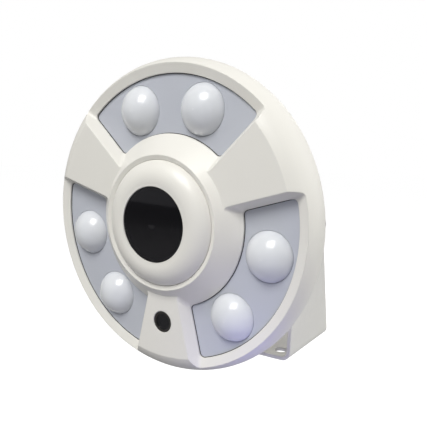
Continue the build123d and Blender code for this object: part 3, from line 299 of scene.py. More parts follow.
# ------------------------------------------------------------------ finishes
@dataclass(frozen=True)
class Finish:
    """A finish: one material with a Principled shader at its end.

    Attributes:
        name: The material's name.
        colour: The base colour, linear.
        tone: The second colour, in the mottle.
        roughness: The mean roughness.
        roughness_spread: How far the roughness varies.
    """

    name: str
    colour: Triple
    tone: Triple
    roughness: float = 0.45
    roughness_spread: float = 0.12

    def build(self) -> bpy.types.Material:
        """Makes the material.

        Returns:
            The finished material.
        """
        material = bpy.data.materials.new(self.name)
        material.use_nodes = True
        tree = material.node_tree
        shader = tree.nodes["Principled BSDF"]
        self.dress(tree, shader)
        return material

    def dress(self, tree: bpy.types.NodeTree, shader: bpy.types.Node) -> None:
        """Adds the nodes of this finish; each kind of finish has its own."""
        raise NotImplementedError

    @staticmethod
    def effect(tree: bpy.types.NodeTree, effect: Effect, **values: float) -> bpy.types.Node:
        """Places a shared effect.

        Args:
            tree: The material's node tree.
            effect: Which effect.
            **values: Input values, with underscores for the spaces in their names.

        Returns:
            The group node.
        """
        node = tree.nodes.new("ShaderNodeGroup")
        node.node_tree = EFFECTS[effect]
        for name, value in values.items():
            node.inputs[name.replace("_", " ")].default_value = value
        return node

    @staticmethod
    def blend(tree: bpy.types.NodeTree, mask: bpy.types.NodeSocket, first: Tint,
              second: Tint) -> bpy.types.NodeSocket:
        """Mixes two colours by a mask.

        Args:
            tree: The material's node tree.
            mask: The mask, from 0 to 1.
            first: The colour or socket where the mask is 0.
            second: The colour or socket where the mask is 1.

        Returns:
            The mixed colour socket.
        """
        node = tree.nodes.new("ShaderNodeMix")
        node.data_type = "RGBA"
        tree.links.new(mask, node.inputs["Factor"])
        for name, value in (("A", first), ("B", second)):
            socket = next(s for s in node.inputs if s.name == name and s.type == "RGBA")
            if isinstance(value, bpy.types.NodeSocket):
                tree.links.new(value, socket)
            else:
                socket.default_value = (*value, 1.0)
        return next(s for s in node.outputs if s.type == "RGBA")

    def vary_roughness(self, tree: bpy.types.NodeTree, shader: bpy.types.Node,
                       mask: bpy.types.NodeSocket) -> None:
        """Spreads the roughness about its mean by a mask."""
        node = tree.nodes.new("ShaderNodeMapRange")
        least = max(self.roughness - self.roughness_spread, SMOOTHEST)
        node.inputs["To Min"].default_value = least
        node.inputs["To Max"].default_value = min(self.roughness + self.roughness_spread, 1.0)
        tree.links.new(mask, node.inputs["Value"])
        tree.links.new(node.outputs["Result"], shader.inputs["Roughness"])

    @staticmethod
    def bump(tree: bpy.types.NodeTree, shader: bpy.types.Node, height: bpy.types.NodeSocket,
             depth: float, strength: float, edge: float = 0.0) -> None:
        """Raises the surface by a height.

        Args:
            tree: The material's node tree.
            shader: The Principled shader.
            height: The height socket.
            depth: The depth of the relief in metres.
            strength: The strength, from 0 to 1.
            edge: The radius that sharp edges look rounded to, in metres.
        """
        node = tree.nodes.new("ShaderNodeBump")
        node.inputs["Strength"].default_value = strength
        node.inputs["Distance"].default_value = depth
        tree.links.new(height, node.inputs["Height"])
        tree.links.new(node.outputs["Normal"], shader.inputs["Normal"])
        if edge:
            soft = tree.nodes.new("ShaderNodeBevel")
            soft.samples = EDGE_SAMPLES
            soft.inputs["Radius"].default_value = edge
            tree.links.new(soft.outputs["Normal"], node.inputs["Normal"])


@dataclass(frozen=True)
class MouldedPlastic(Finish):
    """Injection-moulded plastic or rubber with fine grain, faint mottle and dust.

    Attributes:
        grain_per_metre: How fine the grain is.
        grain_depth: The depth of the grain in metres.
        dust: How much dust lies on faces turned upwards.
        wear: How strongly raised edges are rubbed lighter.
        coat: The strength of a clear skin.
        sheen: A soft sheen, for rubber.
        glow: Light let through the plastic, as subsurface weight.
        glow_depth: How far that light goes, in metres.
        edge: The radius of its moulded edges in metres.
        coat_roughness: The roughness of the clear skin.
        relief: The strength of the grain.
    """

    grain_per_metre: float = 2600.0
    grain_depth: float = 0.00002
    dust: float = 0.08
    wear: float = 0.2
    coat: float = 0.0
    sheen: float = 0.0
    glow: float = 0.0
    glow_depth: float = 0.003
    edge: float = 0.0
    coat_roughness: float = 0.15
    relief: float = 0.5

    def dress(self, tree: bpy.types.NodeTree, shader: bpy.types.Node) -> None:
        """Adds grain, mottle, rubbed edges and dust."""
        grain = self.effect(tree, Effect.GRAIN, Grain_per_metre=self.grain_per_metre)
        worn = self.effect(tree, Effect.WEAR, Amount=self.wear)
        dusty = self.effect(tree, Effect.DUST, Amount=self.dust)
        base = self.blend(tree, grain.outputs["Mottle"], self.colour, self.tone)
        lighter = tuple(min(part * RUBBED_GAIN + RUBBED_LIFT, WHITEST) for part in self.colour)
        base = self.blend(tree, worn.outputs["Mask"], base, lighter)
        base = self.blend(tree, dusty.outputs["Mask"], base, DUST_COLOUR)
        tree.links.new(base, shader.inputs["Base Color"])
        self.vary_roughness(tree, shader, grain.outputs["Mottle"])
        self.bump(tree, shader, grain.outputs["Height"], self.grain_depth, self.relief, self.edge)
        shader.inputs["Coat Weight"].default_value = self.coat
        shader.inputs["Coat Roughness"].default_value = self.coat_roughness
        shader.inputs["Sheen Weight"].default_value = self.sheen
        if self.glow:
            shader.inputs["Subsurface Weight"].default_value = self.glow
            shader.inputs["Subsurface Radius"].default_value = (1.0, 1.0, 1.0)
            shader.inputs["Subsurface Scale"].default_value = self.glow_depth


@dataclass(frozen=True)
class MilkyDome(MouldedPlastic):
    """Milky plastic that thins out to the panel's colour at its foot.

    Attributes:
        foot_colour: The colour at the foot.
        foot: Where the foot lies along Y, in metres.
        fade: How far in front of the foot the milky colour is full, in metres.
    """

    foot_colour: Triple = (0.5, 0.5, 0.5)
    foot: float = 0.0
    fade: float = 0.003

    def dress(self, tree: bpy.types.NodeTree, shader: bpy.types.Node) -> None:
        """Adds the fade to what moulded plastic has."""
        super().dress(tree, shader)
        milk = shader.inputs["Base Color"].links[0].from_socket
        fading = self.effect(tree, Effect.FADE, Foot=self.foot, Full=self.foot - self.fade)
        base = self.blend(tree, fading.outputs["Mask"], self.foot_colour, milk)
        tree.links.new(base, shader.inputs["Base Color"])


@dataclass(frozen=True)
class PowderCoat(Finish):
    """Powder-coated sheet metal with an orange-peel skin.

    Attributes:
        peel_per_metre: How fine the orange peel is.
        peel_depth: The depth of the orange peel in metres.
        relief: The strength of the orange peel.
        mottle_per_metre: How fine the slow change of tone is.
        wear: How strongly raised edges are rubbed.
        worn_colour: The colour of the rubbed edges.
        dust: How much dust lies on faces turned upwards.
        coat: The strength of the clear skin.
        coat_roughness: The roughness of the clear skin.
    """

    peel_per_metre: float = 700.0
    peel_depth: float = 0.00004
    relief: float = 0.6
    mottle_per_metre: float = 14.0
    wear: float = 0.5
    worn_colour: Triple = (0.55, 0.55, 0.54)
    dust: float = 0.12
    coat: float = 0.25
    coat_roughness: float = 0.2

    def dress(self, tree: bpy.types.NodeTree, shader: bpy.types.Node) -> None:
        """Adds orange peel, rubbed edges and dust."""
        peel = self.effect(tree, Effect.GRAIN, Grain_per_metre=self.peel_per_metre,
                           Mottle_per_metre=self.mottle_per_metre)
        worn = self.effect(tree, Effect.WEAR, Amount=self.wear)
        dusty = self.effect(tree, Effect.DUST, Amount=self.dust)
        base = self.blend(tree, peel.outputs["Mottle"], self.colour, self.tone)
        base = self.blend(tree, worn.outputs["Mask"], base, self.worn_colour)
        base = self.blend(tree, dusty.outputs["Mask"], base, DUST_COLOUR)
        tree.links.new(base, shader.inputs["Base Color"])
        self.vary_roughness(tree, shader, peel.outputs["Mottle"])
        self.bump(tree, shader, peel.outputs["Height"], self.peel_depth, self.relief)
        shader.inputs["Coat Weight"].default_value = self.coat
        shader.inputs["Coat Roughness"].default_value = self.coat_roughness


@dataclass(frozen=True)
class BareMetal(Finish):
    """Plated, turned or brushed metal.

    Attributes:
        lines_per_metre: How fine the tool marks are.
        mark_depth: The depth of the tool marks in metres.
        relief: The strength of the tool marks.
    """

    lines_per_metre: float = 900.0
    mark_depth: float = 0.000012
    relief: float = 0.5

    def dress(self, tree: bpy.types.NodeTree, shader: bpy.types.Node) -> None:
        """Adds tool marks and a slow change of tone."""
        brush = self.effect(tree, Effect.BRUSH, Lines_per_metre=self.lines_per_metre)
        base = self.blend(tree, brush.outputs["Tone"], self.colour, self.tone)
        tree.links.new(base, shader.inputs["Base Color"])
        shader.inputs["Metallic"].default_value = 1.0
        self.vary_roughness(tree, shader, brush.outputs["Tone"])
        self.bump(tree, shader, brush.outputs["Height"], self.mark_depth, self.relief)


@dataclass(frozen=True)
class TintedGlass(Finish):
    """Polished glass or clear plastic with a tint and a trace of smears.

    Attributes:
        clear: The transmission weight.
        bend: The refractive index.
        coat: The strength of the anti-reflection coat.
        coat_tint: The colour of the coat's reflection.
        coat_roughness: The roughness of the coat.
        smears_per_metre: How fine the smears are.
        haze_per_metre: How fine the slow change of tone is.
    """

    clear: float = 0.9
    bend: float = 1.5
    coat: float = 0.6
    coat_tint: Triple = (0.75, 0.7, 1.0)
    coat_roughness: float = 0.03
    smears_per_metre: float = 120.0
    haze_per_metre: float = 60.0

    def dress(self, tree: bpy.types.NodeTree, shader: bpy.types.Node) -> None:
        """Adds the tint and the smears."""
        smear = self.effect(tree, Effect.GRAIN, Grain_per_metre=self.smears_per_metre,
                            Mottle_per_metre=self.haze_per_metre)
        base = self.blend(tree, smear.outputs["Mottle"], self.colour, self.tone)
        tree.links.new(base, shader.inputs["Base Color"])
        self.vary_roughness(tree, shader, smear.outputs["Mottle"])
        shader.inputs["Metallic"].default_value = 0.0
        shader.inputs["Transmission Weight"].default_value = self.clear
        shader.inputs["IOR"].default_value = self.bend
        shader.inputs["Coat Weight"].default_value = self.coat
        shader.inputs["Coat Roughness"].default_value = self.coat_roughness
        shader.inputs["Coat Tint"].default_value = (*self.coat_tint, 1.0)


@dataclass(frozen=True)
class CircuitBoard(Finish):
    """A lacquered circuit board with tracks and round pads.

    Attributes:
        tracks_per_metre: How dense the tracks are.
        copper: The colour of the tracks under the lacquer.
        tin: The colour of the pads.
        track_edges: Where a track begins and is full, across a cell.
        pad_edges: Where a pad begins and is full, across a cell.
        track_depth: The height of the tracks in metres.
        relief: The strength of the tracks.
        weave_per_metre: How fine the board's weave is.
        coat: The strength of the lacquer.
        coat_roughness: The roughness of the lacquer.
    """

    tracks_per_metre: float = 190.0
    copper: Triple = (0.04, 0.2, 0.07)
    tin: Triple = (0.7, 0.68, 0.62)
    track_edges: tuple[float, float] = (0.42, 0.46)
    pad_edges: tuple[float, float] = (0.10, 0.07)
    track_depth: float = 0.00003
    relief: float = 0.6
    weave_per_metre: float = 900.0
    coat: float = 0.5
    coat_roughness: float = 0.1

    @staticmethod
    def step(tree: bpy.types.NodeTree, value: bpy.types.NodeSocket,
             edges: tuple[float, float]) -> bpy.types.NodeSocket:
        """Turns a value into a mask between two edges.

        Args:
            tree: The material's node tree.
            value: The value socket.
            edges: The values where the mask is 0 and 1.

        Returns:
            The mask socket.
        """
        ramp = tree.nodes.new("ShaderNodeMapRange")
        ramp.inputs["From Min"].default_value, ramp.inputs["From Max"].default_value = edges
        tree.links.new(value, ramp.inputs["Value"])
        return ramp.outputs["Result"]

    def dress(self, tree: bpy.types.NodeTree, shader: bpy.types.Node) -> None:
        """Adds tracks in relief, pads and a lacquer skin."""
        grain = self.effect(tree, Effect.GRAIN, Grain_per_metre=self.weave_per_metre)
        coordinates = tree.nodes.new("ShaderNodeTexCoord")
        cells = tree.nodes.new("ShaderNodeTexVoronoi")
        cells.distance = "MANHATTAN"
        cells.inputs["Scale"].default_value = self.tracks_per_metre
        tree.links.new(coordinates.outputs["Object"], cells.inputs["Vector"])
        tracks = self.step(tree, cells.outputs["Distance"], self.track_edges)
        pads = self.step(tree, cells.outputs["Distance"], self.pad_edges)
        base = self.blend(tree, grain.outputs["Mottle"], self.colour, self.tone)
        base = self.blend(tree, tracks, base, self.copper)
        base = self.blend(tree, pads, base, self.tin)
        tree.links.new(base, shader.inputs["Base Color"])
        self.vary_roughness(tree, shader, grain.outputs["Mottle"])
        self.bump(tree, shader, tracks, self.track_depth, self.relief)
        shader.inputs["Coat Weight"].default_value = self.coat
        shader.inputs["Coat Roughness"].default_value = self.coat_roughness


@dataclass(frozen=True)
class LampPhosphor(Finish):
    """A light-emitting array under yellow phosphor, in small cells.

    Attributes:
        cells_per_metre: How dense the cells are.
        disorder: How far the cells stray from a grid, from 0 to 1.
        cell_depth: The height of the cells in metres.
        relief: The strength of the cells.
    """

    cells_per_metre: float = 900.0
    disorder: float = 0.2
    cell_depth: float = 0.00005
    relief: float = 0.5

    def dress(self, tree: bpy.types.NodeTree, shader: bpy.types.Node) -> None:
        """Adds the cells."""
        coordinates = tree.nodes.new("ShaderNodeTexCoord")
        cells = tree.nodes.new("ShaderNodeTexVoronoi")
        cells.inputs["Scale"].default_value = self.cells_per_metre
        cells.inputs["Randomness"].default_value = self.disorder
        tree.links.new(coordinates.outputs["Object"], cells.inputs["Vector"])
        base = self.blend(tree, cells.outputs["Distance"], self.colour, self.tone)
        tree.links.new(base, shader.inputs["Base Color"])
        self.vary_roughness(tree, shader, cells.outputs["Distance"])
        self.bump(tree, shader, cells.outputs["Distance"], self.cell_depth, self.relief)


PANEL_COLOUR: Triple = (0.53, 0.55, 0.615)
PANEL_TONE: Triple = (0.505, 0.525, 0.59)
DOME_FOOT_COLOUR: Triple = (0.68, 0.7, 0.75)
PANEL_FRONT_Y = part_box("lamp_panel_1")[0].y

FINISHES: dict[str, Finish] = {
    "shell_white": MouldedPlastic("satin_white_shell", (0.80, 0.785, 0.745), (0.77, 0.755, 0.715),
                                  0.42, 0.05, grain_per_metre=1800.0, dust=0.05, coat=0.12,
                                  edge=0.0007),
    "coated_steel": PowderCoat("white_powder_coat", (0.76, 0.75, 0.72), (0.72, 0.71, 0.685),
                               0.5, 0.08),
    "dark_window": TintedGlass("dark_front_window", (0.028, 0.026, 0.033), (0.02, 0.019, 0.024),
                               0.06, 0.03, coat=0.2),
    "black_plastic": MouldedPlastic("matt_black_plastic", (0.018, 0.018, 0.019),
                                    (0.026, 0.026, 0.027), 0.6, 0.1),
    "black_metal": BareMetal("black_anodised", (0.03, 0.03, 0.033), (0.05, 0.05, 0.055), 0.4, 0.1),
    "lens_glass": TintedGlass("coated_lens", (0.75, 0.7, 0.95), (0.65, 0.68, 0.95), 0.03, 0.02,
                              clear=0.9, coat=1.0, coat_tint=(0.6, 0.45, 1.0)),
    "filter_red": TintedGlass("infrared_cut_filter", (0.75, 0.2, 0.25), (0.65, 0.16, 0.3), 0.04,
                              0.02),
    "filter_clear": TintedGlass("clear_filter", (0.92, 0.95, 0.96), (0.88, 0.92, 0.95), 0.04, 0.02),
    "circuit_green": CircuitBoard("green_circuit_board", (0.012, 0.11, 0.04),
                                  (0.014, 0.09, 0.035), 0.35, 0.08),
    "sensor_chip": CircuitBoard("image_sensor_chip", (0.05, 0.05, 0.07), (0.07, 0.06, 0.09), 0.2,
                                0.05, tracks_per_metre=1400.0, copper=(0.2, 0.16, 0.08)),
    "lamp_board_white": CircuitBoard("white_lamp_board", (0.78, 0.78, 0.75), (0.72, 0.72, 0.7),
                                     0.4, 0.08, copper=(0.68, 0.68, 0.64)),
    "aluminium": BareMetal("milled_aluminium", (0.82, 0.82, 0.83), (0.7, 0.7, 0.72), 0.38, 0.1),
    "eye_black": TintedGlass("dark_eye_glass", (0.05, 0.045, 0.04), (0.035, 0.03, 0.028), 0.08,
                             0.04, clear=0.6, coat_tint=(1.0, 1.0, 1.0)),
    "photocell_tan": LampPhosphor("photocell_face", (0.5, 0.3, 0.12), (0.75, 0.6, 0.4), 0.4, 0.1,
                                  cells_per_metre=1600.0),
    "seal_rubber": MouldedPlastic("black_seal_rubber", (0.02, 0.02, 0.021), (0.032, 0.032, 0.033),
                                  0.75, 0.1, sheen=0.2),
    "plug_rubber": MouldedPlastic("grey_plug_rubber", (0.33, 0.33, 0.32), (0.28, 0.28, 0.275), 0.7,
                                  0.1, sheen=0.2),
    "chip_black": MouldedPlastic("black_chip_resin", (0.025, 0.025, 0.026), (0.04, 0.04, 0.04),
                                 0.55, 0.1, grain_per_metre=5200.0),
    "shield_can": BareMetal("tinned_shield", (0.75, 0.75, 0.73), (0.66, 0.66, 0.65), 0.32, 0.1),
    "ribbon_white": MouldedPlastic("white_ribbon_lead", (0.75, 0.75, 0.72), (0.7, 0.7, 0.68), 0.5,
                                   0.1),
    "antenna_film": CircuitBoard("flat_aerial", (0.03, 0.03, 0.032), (0.04, 0.04, 0.042), 0.4, 0.1,
                                 tracks_per_metre=120.0, copper=(0.5, 0.3, 0.14)),
    "gland_nylon": MouldedPlastic("light_grey_nylon", (0.52, 0.52, 0.5), (0.46, 0.46, 0.45), 0.5,
                                  0.1, glow=0.1),
    "button_grey": MouldedPlastic("grey_push_button", (0.24, 0.24, 0.25), (0.2, 0.2, 0.21), 0.5,
                                  0.1),
    "screw_steel": BareMetal("zinc_plated_screw", (0.62, 0.61, 0.58), (0.5, 0.5, 0.5), 0.34, 0.12),
    "bolt_steel": BareMetal("stainless_bolt", (0.66, 0.65, 0.63), (0.55, 0.55, 0.54), 0.28, 0.1),
    "brass": BareMetal("turned_brass", (0.78, 0.57, 0.25), (0.66, 0.46, 0.2), 0.3, 0.1),
    "capacitor_can": BareMetal("capacitor_can", (0.7, 0.72, 0.76), (0.55, 0.57, 0.62), 0.3, 0.1),
    "connector_ivory": MouldedPlastic("ivory_connector", (0.72, 0.68, 0.56), (0.66, 0.62, 0.52),
                                      0.5, 0.1),
    "washer_nylon": MouldedPlastic("white_nylon_washer", (0.74, 0.73, 0.7), (0.68, 0.67, 0.65),
                                   0.45, 0.1, glow=0.2),
    "lamp_phosphor": LampPhosphor("lamp_phosphor", (0.85, 0.6, 0.08), (0.6, 0.42, 0.05), 0.5, 0.1),
    "panel_blue_grey": MouldedPlastic("pale_window_panel", PANEL_COLOUR, PANEL_TONE, 0.35, 0.06,
                                      grain_per_metre=3200.0, dust=0.0, wear=0.0, coat=0.2,
                                      glow=0.15),
    "dome_milk": MilkyDome("milky_dome", (0.74, 0.755, 0.79), (0.71, 0.73, 0.77), 0.24, 0.04,
                           grain_per_metre=1200.0, grain_depth=0.000005, dust=0.0, wear=0.0,
                           coat=0.3, glow=0.6, foot_colour=DOME_FOOT_COLOUR, foot=PANEL_FRONT_Y),
}


class Paint:
    """Hands out each finish as one material and puts it on pieces."""

    def __init__(self) -> None:
        """Starts with the record's slot of each node and no material made."""
        self.slots: dict[str, str] = {
            part["node"]: part["material_slot"] for part in frame["record"]["subparts"]
        }
        self.made: dict[str, bpy.types.Material] = {}

    def material(self, slot: str) -> bpy.types.Material:
        """Returns the material of a slot, made the first time it is asked for."""
        if slot not in self.made:
            self.made[slot] = FINISHES[slot].build()
        return self.made[slot]

    def dress(self, node: str) -> None:
        """Puts the finish of its slot on a node of the frame."""
        mesh = frame["nodes"][node].data
        mesh.materials.clear()
        mesh.materials.append(self.material(self.slots[node]))
        LOG.info("%s wears %s", node, FINISHES[self.slots[node]].name)

    def dress_new(self, piece: bpy.types.Object, slot: str, body: str) -> None:
        """Puts a finish on a new piece and hangs it on its body."""
        piece.data.materials.clear()
        piece.data.materials.append(self.material(slot))
        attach(piece, body)
        LOG.info("%s wears %s and rides on %s", piece.name, FINISHES[slot].name, body)


def piece_from(name: str, shape: bmesh.types.BMesh, smooth_below: float = 40.0) -> bpy.types.Object:
    """Turns a bmesh into a piece in the scene.

    Args:
        name: The piece's name.
        shape: The bmesh, which is freed.
        smooth_below: Edges flatter than this angle, in degrees, are shaded smooth.

    Returns:
        The new object.
    """
    bmesh.ops.remove_doubles(shape, verts=shape.verts, dist=SAME_PLACE / 10)
    bmesh.ops.recalc_face_normals(shape, faces=shape.faces)
    limit = math.radians(smooth_below)
    for face in shape.faces:
        face.smooth = True
    for edge in shape.edges:
        edge.smooth = len(edge.link_faces) == 2 and edge.calc_face_angle(0.0) < limit
    mesh = bpy.data.meshes.new(name)
    shape.to_mesh(mesh)
    shape.free()
    piece = bpy.data.objects.new(name, mesh)
    bpy.context.scene.collection.objects.link(piece)
    return piece


def join_rings(shape: bmesh.types.BMesh, rings: list[list[bmesh.types.BMVert]]) -> None:
    """Joins closed rings of equal length, each to the next and the last to the first."""
    for ring, following in zip(rings, rings[1:] + rings[:1]):
        for index, vert in enumerate(ring):
            beyond = (index + 1) % len(ring)
            shape.faces.new((vert, ring[beyond], following[beyond], following[index]))


def front_outline(node: str) -> list[Vector]:
    """Finds the longest closed edge of a flat node's front face.

    Args:
        node: The node, whose front face looks along -Y.

    Returns:
        The corners in order, as points in X and Z.
    """
    shape = bmesh.new()
    shape.from_mesh(frame["nodes"][node].data)
    bmesh.ops.remove_doubles(shape, verts=shape.verts, dist=SAME_PLACE)
    front = min(vert.co.y for vert in shape.verts)
    behind = {vert for vert in shape.verts if abs(vert.co.y - front) > SAME_PLACE}
    beside: dict[bmesh.types.BMVert, list[bmesh.types.BMVert]] = {}
    for edge in shape.edges:
        first, second = edge.verts
        if first in behind or second in behind:
            continue
        if not any(corner in behind for face in edge.link_faces for corner in face.verts):
            continue
        beside.setdefault(first, []).append(second)
        beside.setdefault(second, []).append(first)
    loops = []
    while beside:
        loop = [next(iter(beside))]
        onward = [vert for vert in beside.pop(loop[-1]) if vert in beside]
        while onward:
            loop.append(onward[0])
            onward = [vert for vert in beside.pop(loop[-1]) if vert in beside]
        loops.append([Vector((vert.co.x, vert.co.z)) for vert in loop])
    shape.free()
    return max(loops, key=lambda loop: sum((a - b).length for a, b in zip(loop, loop[1:])))


def inset(loop: list[Vector], depth: float) -> list[tuple[Vector, Vector]]:
    """Moves a closed outline inwards.

    Args:
        loop: The corners in order.
        depth: How far inwards.

    Returns:
        Each moved corner with its inward direction.
    """
    area = sum(a.x * b.y - b.x * a.y for a, b in zip(loop, loop[1:] + loop[:1]))
    sign = 1.0 if area > 0 else -1.0
    moved = []
    for index, corner in enumerate(loop):
        before = (corner - loop[index - 1]).normalized()
        after = (loop[(index + 1) % len(loop)] - corner).normalized()
        along = (before + after).normalized()
        inward = Vector((-along.y, along.x)) * sign
        stretch = max(SHARPEST_CORNER, inward.dot(Vector((-after.y, after.x)) * sign))
        moved.append((corner + inward * (depth / stretch), inward))
    return moved


# ------------------------------------------------------------------ sub-assemblies
@dataclass
class Assembly:
    """One sub-assembly of the camera.

    Attributes:
        nodes: The frame's nodes that belong to it.
    """

    nodes: tuple[str, ...] = ()

    def build(self, paint: Paint) -> None:
        """Dresses the nodes."""
        for node in self.nodes:
            paint.dress(node)


@dataclass
class Shell(Assembly):
    """The white outer shell and what seals and screws it."""

    nodes: tuple[str, ...] = ("front_bezel", "rear_housing", "case_seal", "case_screws")


@dataclass
class CameraEye(Assembly):
    """The fisheye camera in the middle of the head, from cap to sensor board."""

    nodes: tuple[str, ...] = (
        "centre_cap", "front_window", "lens_shroud", "lens_barrel", "front_lens", "lens_ring",
        "rear_lens", "lens_holder", "filter_slide", "infrared_filter", "clear_filter",
        "filter_motor", "sensor_board", "image_sensor", "camera_screws",
    )


@dataclass
class LampField(Assembly):
    """The lamp windows, their domes and what lies under them.

    Attributes:
        nodes: The boards and parts behind the panels.
        windows: How many windows there are.
        domes: How many domed lenses there are.
        panel_lap: How far a panel's edge lies outside its painted shadow line.
        shadow_line_radius: The radius of the painted shadow line round a window.
        shadow_line_sides: The sides of the painted shadow line's section.
    """

    nodes: tuple[str, ...] = ("lamp_board", "heat_spreader", "lamp_arrays", "lamp_screws")
    windows: int = 3
    domes: int = 6
    panel_lap: float = 1.3 * MM
    shadow_line_radius: float = 0.26 * MM
    shadow_line_sides: int = 8

    def build(self, paint: Paint) -> None:
        """Dresses the lamps, panels and boards, and builds a thin dark bead round each window as a
        painted shadow line.
        """
        super().build(paint)
        for index in range(1, self.windows + 1):
            paint.dress(f"lamp_panel_{index}")
            # Painted shadow: a thin black rubber bead stands in for the shade in the gap round the
            # window.
            paint.dress_new(self.painted_shadow_line(index), "seal_rubber", "head")
        for index in range(1, self.domes + 1):
            paint.dress(f"dome_lens_{index}")

    def painted_shadow_line(self, index: int) -> bpy.types.Object:
        """Builds the thin dark bead round one window, a painted shadow line where the gap between
        bezel and panel lies in shade.

        Args:
            index: Which window, from 1.

        Returns:
            The new piece.
        """
        path = inset(front_outline(f"lamp_panel_{index}"), self.panel_lap)
        shape = bmesh.new()
        rings = []
        for point, inward in path:
            ring = []
            for side in range(self.shadow_line_sides):
                turn = 2 * math.pi * side / self.shadow_line_sides
                across = point + inward * (self.shadow_line_radius * math.cos(turn))
                y = PANEL_FRONT_Y - self.shadow_line_radius * math.sin(turn)
                ring.append(shape.verts.new((across.x, y, across.y)))
            rings.append(ring)
        join_rings(shape, rings)
        return piece_from(f"painted_shadow_line_{index}", shape)


@dataclass
class LightSensor(Assembly):
    """The light sensor in the lower spoke."""

    nodes: tuple[str, ...] = ("eye_ring", "eye_glass", "photocell")


@dataclass
class Electronics(Assembly):
    """The boards and parts inside the drum."""

    nodes: tuple[str, ...] = (
        "main_board", "processor", "heat_sink", "wireless_module", "camera_ribbon", "antenna",
        "capacitors", "connectors", "board_screws", "standoffs",
    )


@dataclass
class ServiceFace(Assembly):
    """What is on the back of the drum: cable gland, reset button and card plug."""

    nodes: tuple[str, ...] = (
        "gland_body", "gland_seal", "gland_nut", "gland_locknut", "reset_button",
        "reset_switch", "card_plug", "card_socket",
    )


@dataclass
class TiltMount(Assembly):
    """The yoke and the hardware of the tilt axis."""

    nodes: tuple[str, ...] = (
        "yoke", "threaded_inserts", "friction_washers", "flat_washers", "spring_washers",
        "pivot_bolts",
    )


# ------------------------------------------------------------------ studio
@dataclass(frozen=True)
class SoftLight:
    """One square softbox.

    Attributes:
        name: The light's name.
        place: Where it stands, from the middle of the head.
        side: The length of its side.
        power: Its power in watts.
        colour: Its colour.
        mirrored: Whether glossy surfaces show it.
    """

    name: str
    place: Triple
    side: float
    power: float
    colour: Triple = WHITE
    mirrored: bool = True

    def build(self, target: Vector) -> None:
        """Hangs the light and turns it to the target."""
        data = bpy.data.lights.new(self.name, "AREA")
        data.shape = "SQUARE"
        data.size = self.side
        data.energy = self.power
        data.color = self.colour
        lamp = bpy.data.objects.new(self.name, data)
        lamp.location = target + Vector(self.place)
        lamp.rotation_euler = (-Vector(self.place)).to_track_quat("-Z", "Y").to_euler()
        lamp.visible_glossy = self.mirrored
        bpy.context.scene.collection.objects.link(lamp)


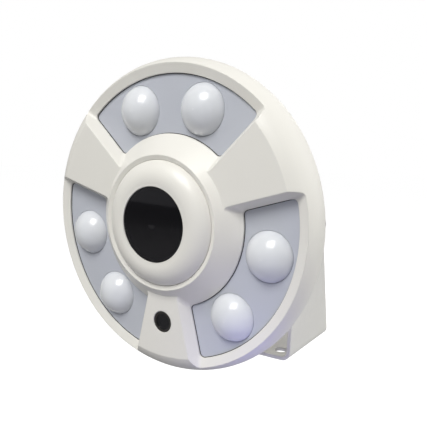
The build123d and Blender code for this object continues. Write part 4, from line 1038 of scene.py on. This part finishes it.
@dataclass
class Studio:
    """The floor, the sky, the softboxes and the camera.

    Attributes:
        floor_drop: How far the floor lies under the object.
        floor_side: The side of the floor.
        floor_colour: The colour of the floor.
        floor_roughness: The roughness of the floor.
        floor_glow: How much the floor brightens to the camera alone.
        sky: The brightness of the surroundings as a light.
        lights: The softboxes.
        stand: Where the camera stands.
        azimuth: The camera's turn about Z, in degrees, from straight in front.
        elevation: How far the camera stands above the axis it looks along, in degrees.
        roll: The camera's roll, in degrees.
        focal: The focal length in millimetres.
        lift: The vertical shift of the lens.
        nearest: The nearest distance that the camera sees.
    """

    floor_drop: float = 0.18
    floor_side: float = 12.0
    floor_colour: Triple = (0.24, 0.24, 0.24)
    floor_roughness: float = 0.9
    floor_glow: float = 0.9
    sky: float = 0.32
    lights: tuple[SoftLight, ...] = (
        SoftLight("key_high_front", (0.05, -0.85, 1.05), 0.6, 15.6, (1.0, 0.995, 0.96)),
        SoftLight("side_behind", (1.15, 0.75, 0.35), 0.7, 11.0, (1.0, 1.0, 0.98), False),
        SoftLight("low_back", (-0.1, 1.2, 0.5), 0.6, 10.0, WHITE, False),
        SoftLight("fill_left", (-0.8, -1.4, 0.25), 0.9, 1.1, WHITE, False),
        SoftLight("fill_right", (1.5, -0.3, 0.15), 0.7, 2.0, WHITE, False),
        SoftLight("low_violet", (0.07, -0.03, -0.08), 0.04, 0.010, (0.4, 0.38, 1.0), False),
    )
    stand: Vector = field(default_factory=lambda: Vector((0.1653, -0.2588, 0.1064)))
    azimuth: float = 32.92
    elevation: float = 12.65
    roll: float = -1.02
    focal: float = 44.9
    lift: float = 0.1206
    nearest: float = 0.01

    def build(self) -> None:
        """Builds the studio round the head."""
        self.build_floor()
        self.build_sky()
        low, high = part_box("front_bezel")
        for light in self.lights:
            light.build((low + high) / 2)
        self.build_camera()
        bpy.context.scene.view_settings.view_transform = "Standard"

    def build_floor(self) -> None:
        """Lays the plain pale floor, which looks evenly white to the camera."""
        shape = bmesh.new()
        bmesh.ops.create_grid(shape, x_segments=1, y_segments=1, size=self.floor_side / 2)
        floor = piece_from("floor", shape)
        floor.location.z = CAD_BOX[0].z - self.floor_drop
        material = bpy.data.materials.new("pale_floor")
        material.use_nodes = True
        tree = material.node_tree
        shader = tree.nodes["Principled BSDF"]
        shader.inputs["Base Color"].default_value = (*self.floor_colour, 1.0)
        shader.inputs["Roughness"].default_value = self.floor_roughness
        shader.inputs["Emission Color"].default_value = (*WHITE, 1.0)
        path = tree.nodes.new("ShaderNodeLightPath")
        seen = tree.nodes.new("ShaderNodeMath")
        seen.operation = "MULTIPLY"
        seen.inputs[1].default_value = self.floor_glow
        tree.links.new(path.outputs["Is Camera Ray"], seen.inputs[0])
        tree.links.new(seen.outputs[0], shader.inputs["Emission Strength"])
        floor.data.materials.append(material)
        LOG.info("floor laid")

    def build_sky(self) -> None:
        """Surrounds the scene with an even white sky that lights it softly."""
        world = bpy.data.worlds.new("white_sky")
        world.use_nodes = True
        tree = world.node_tree
        path = tree.nodes.new("ShaderNodeLightPath")
        seen = tree.nodes.new("ShaderNodeMapRange")
        seen.inputs["To Min"].default_value = self.sky
        seen.inputs["To Max"].default_value = 1.0
        tree.links.new(path.outputs["Is Camera Ray"], seen.inputs["Value"])
        tree.nodes["Background"].inputs["Color"].default_value = (*WHITE, 1.0)
        tree.links.new(seen.outputs["Result"], tree.nodes["Background"].inputs["Strength"])
        bpy.context.scene.world = world

    def build_camera(self) -> None:
        """Puts up the camera."""
        turn = math.radians(self.azimuth)
        rise = math.radians(self.elevation)
        roll = math.radians(self.roll)
        back = Vector((math.sin(turn) * math.cos(rise), -math.cos(turn) * math.cos(rise),
                       math.sin(rise)))
        side = Vector((math.cos(turn), math.sin(turn), 0.0))
        over = back.cross(side)
        up = over * math.cos(roll) + side * math.sin(roll)
        right = up.cross(back)
        data = bpy.data.cameras.new("camera")
        data.lens = self.focal
        data.shift_y = self.lift
        data.clip_start = self.nearest
        camera = bpy.data.objects.new("camera", data)
        pose = Matrix((right, up, back)).transposed().to_4x4()
        pose.translation = self.stand
        camera.matrix_world = pose
        bpy.context.scene.collection.objects.link(camera)
        bpy.context.scene.camera = camera
        LOG.info("camera up")


def write_sizes() -> None:
    """Does nothing: no box of the frame or of the finished model is written."""
    LOG.info("sizes written")


def main() -> None:
    """Builds and dresses the sub-assemblies in order, then the studio."""
    paint = Paint()
    for part in (Shell(), CameraEye(), LampField(), LightSensor(), Electronics(),
                 ServiceFace(), TiltMount()):
        part.build(paint)
        LOG.info("%s done", type(part).__name__)
    Studio().build()
    write_sizes()


if __name__ == "__main__":
    main()
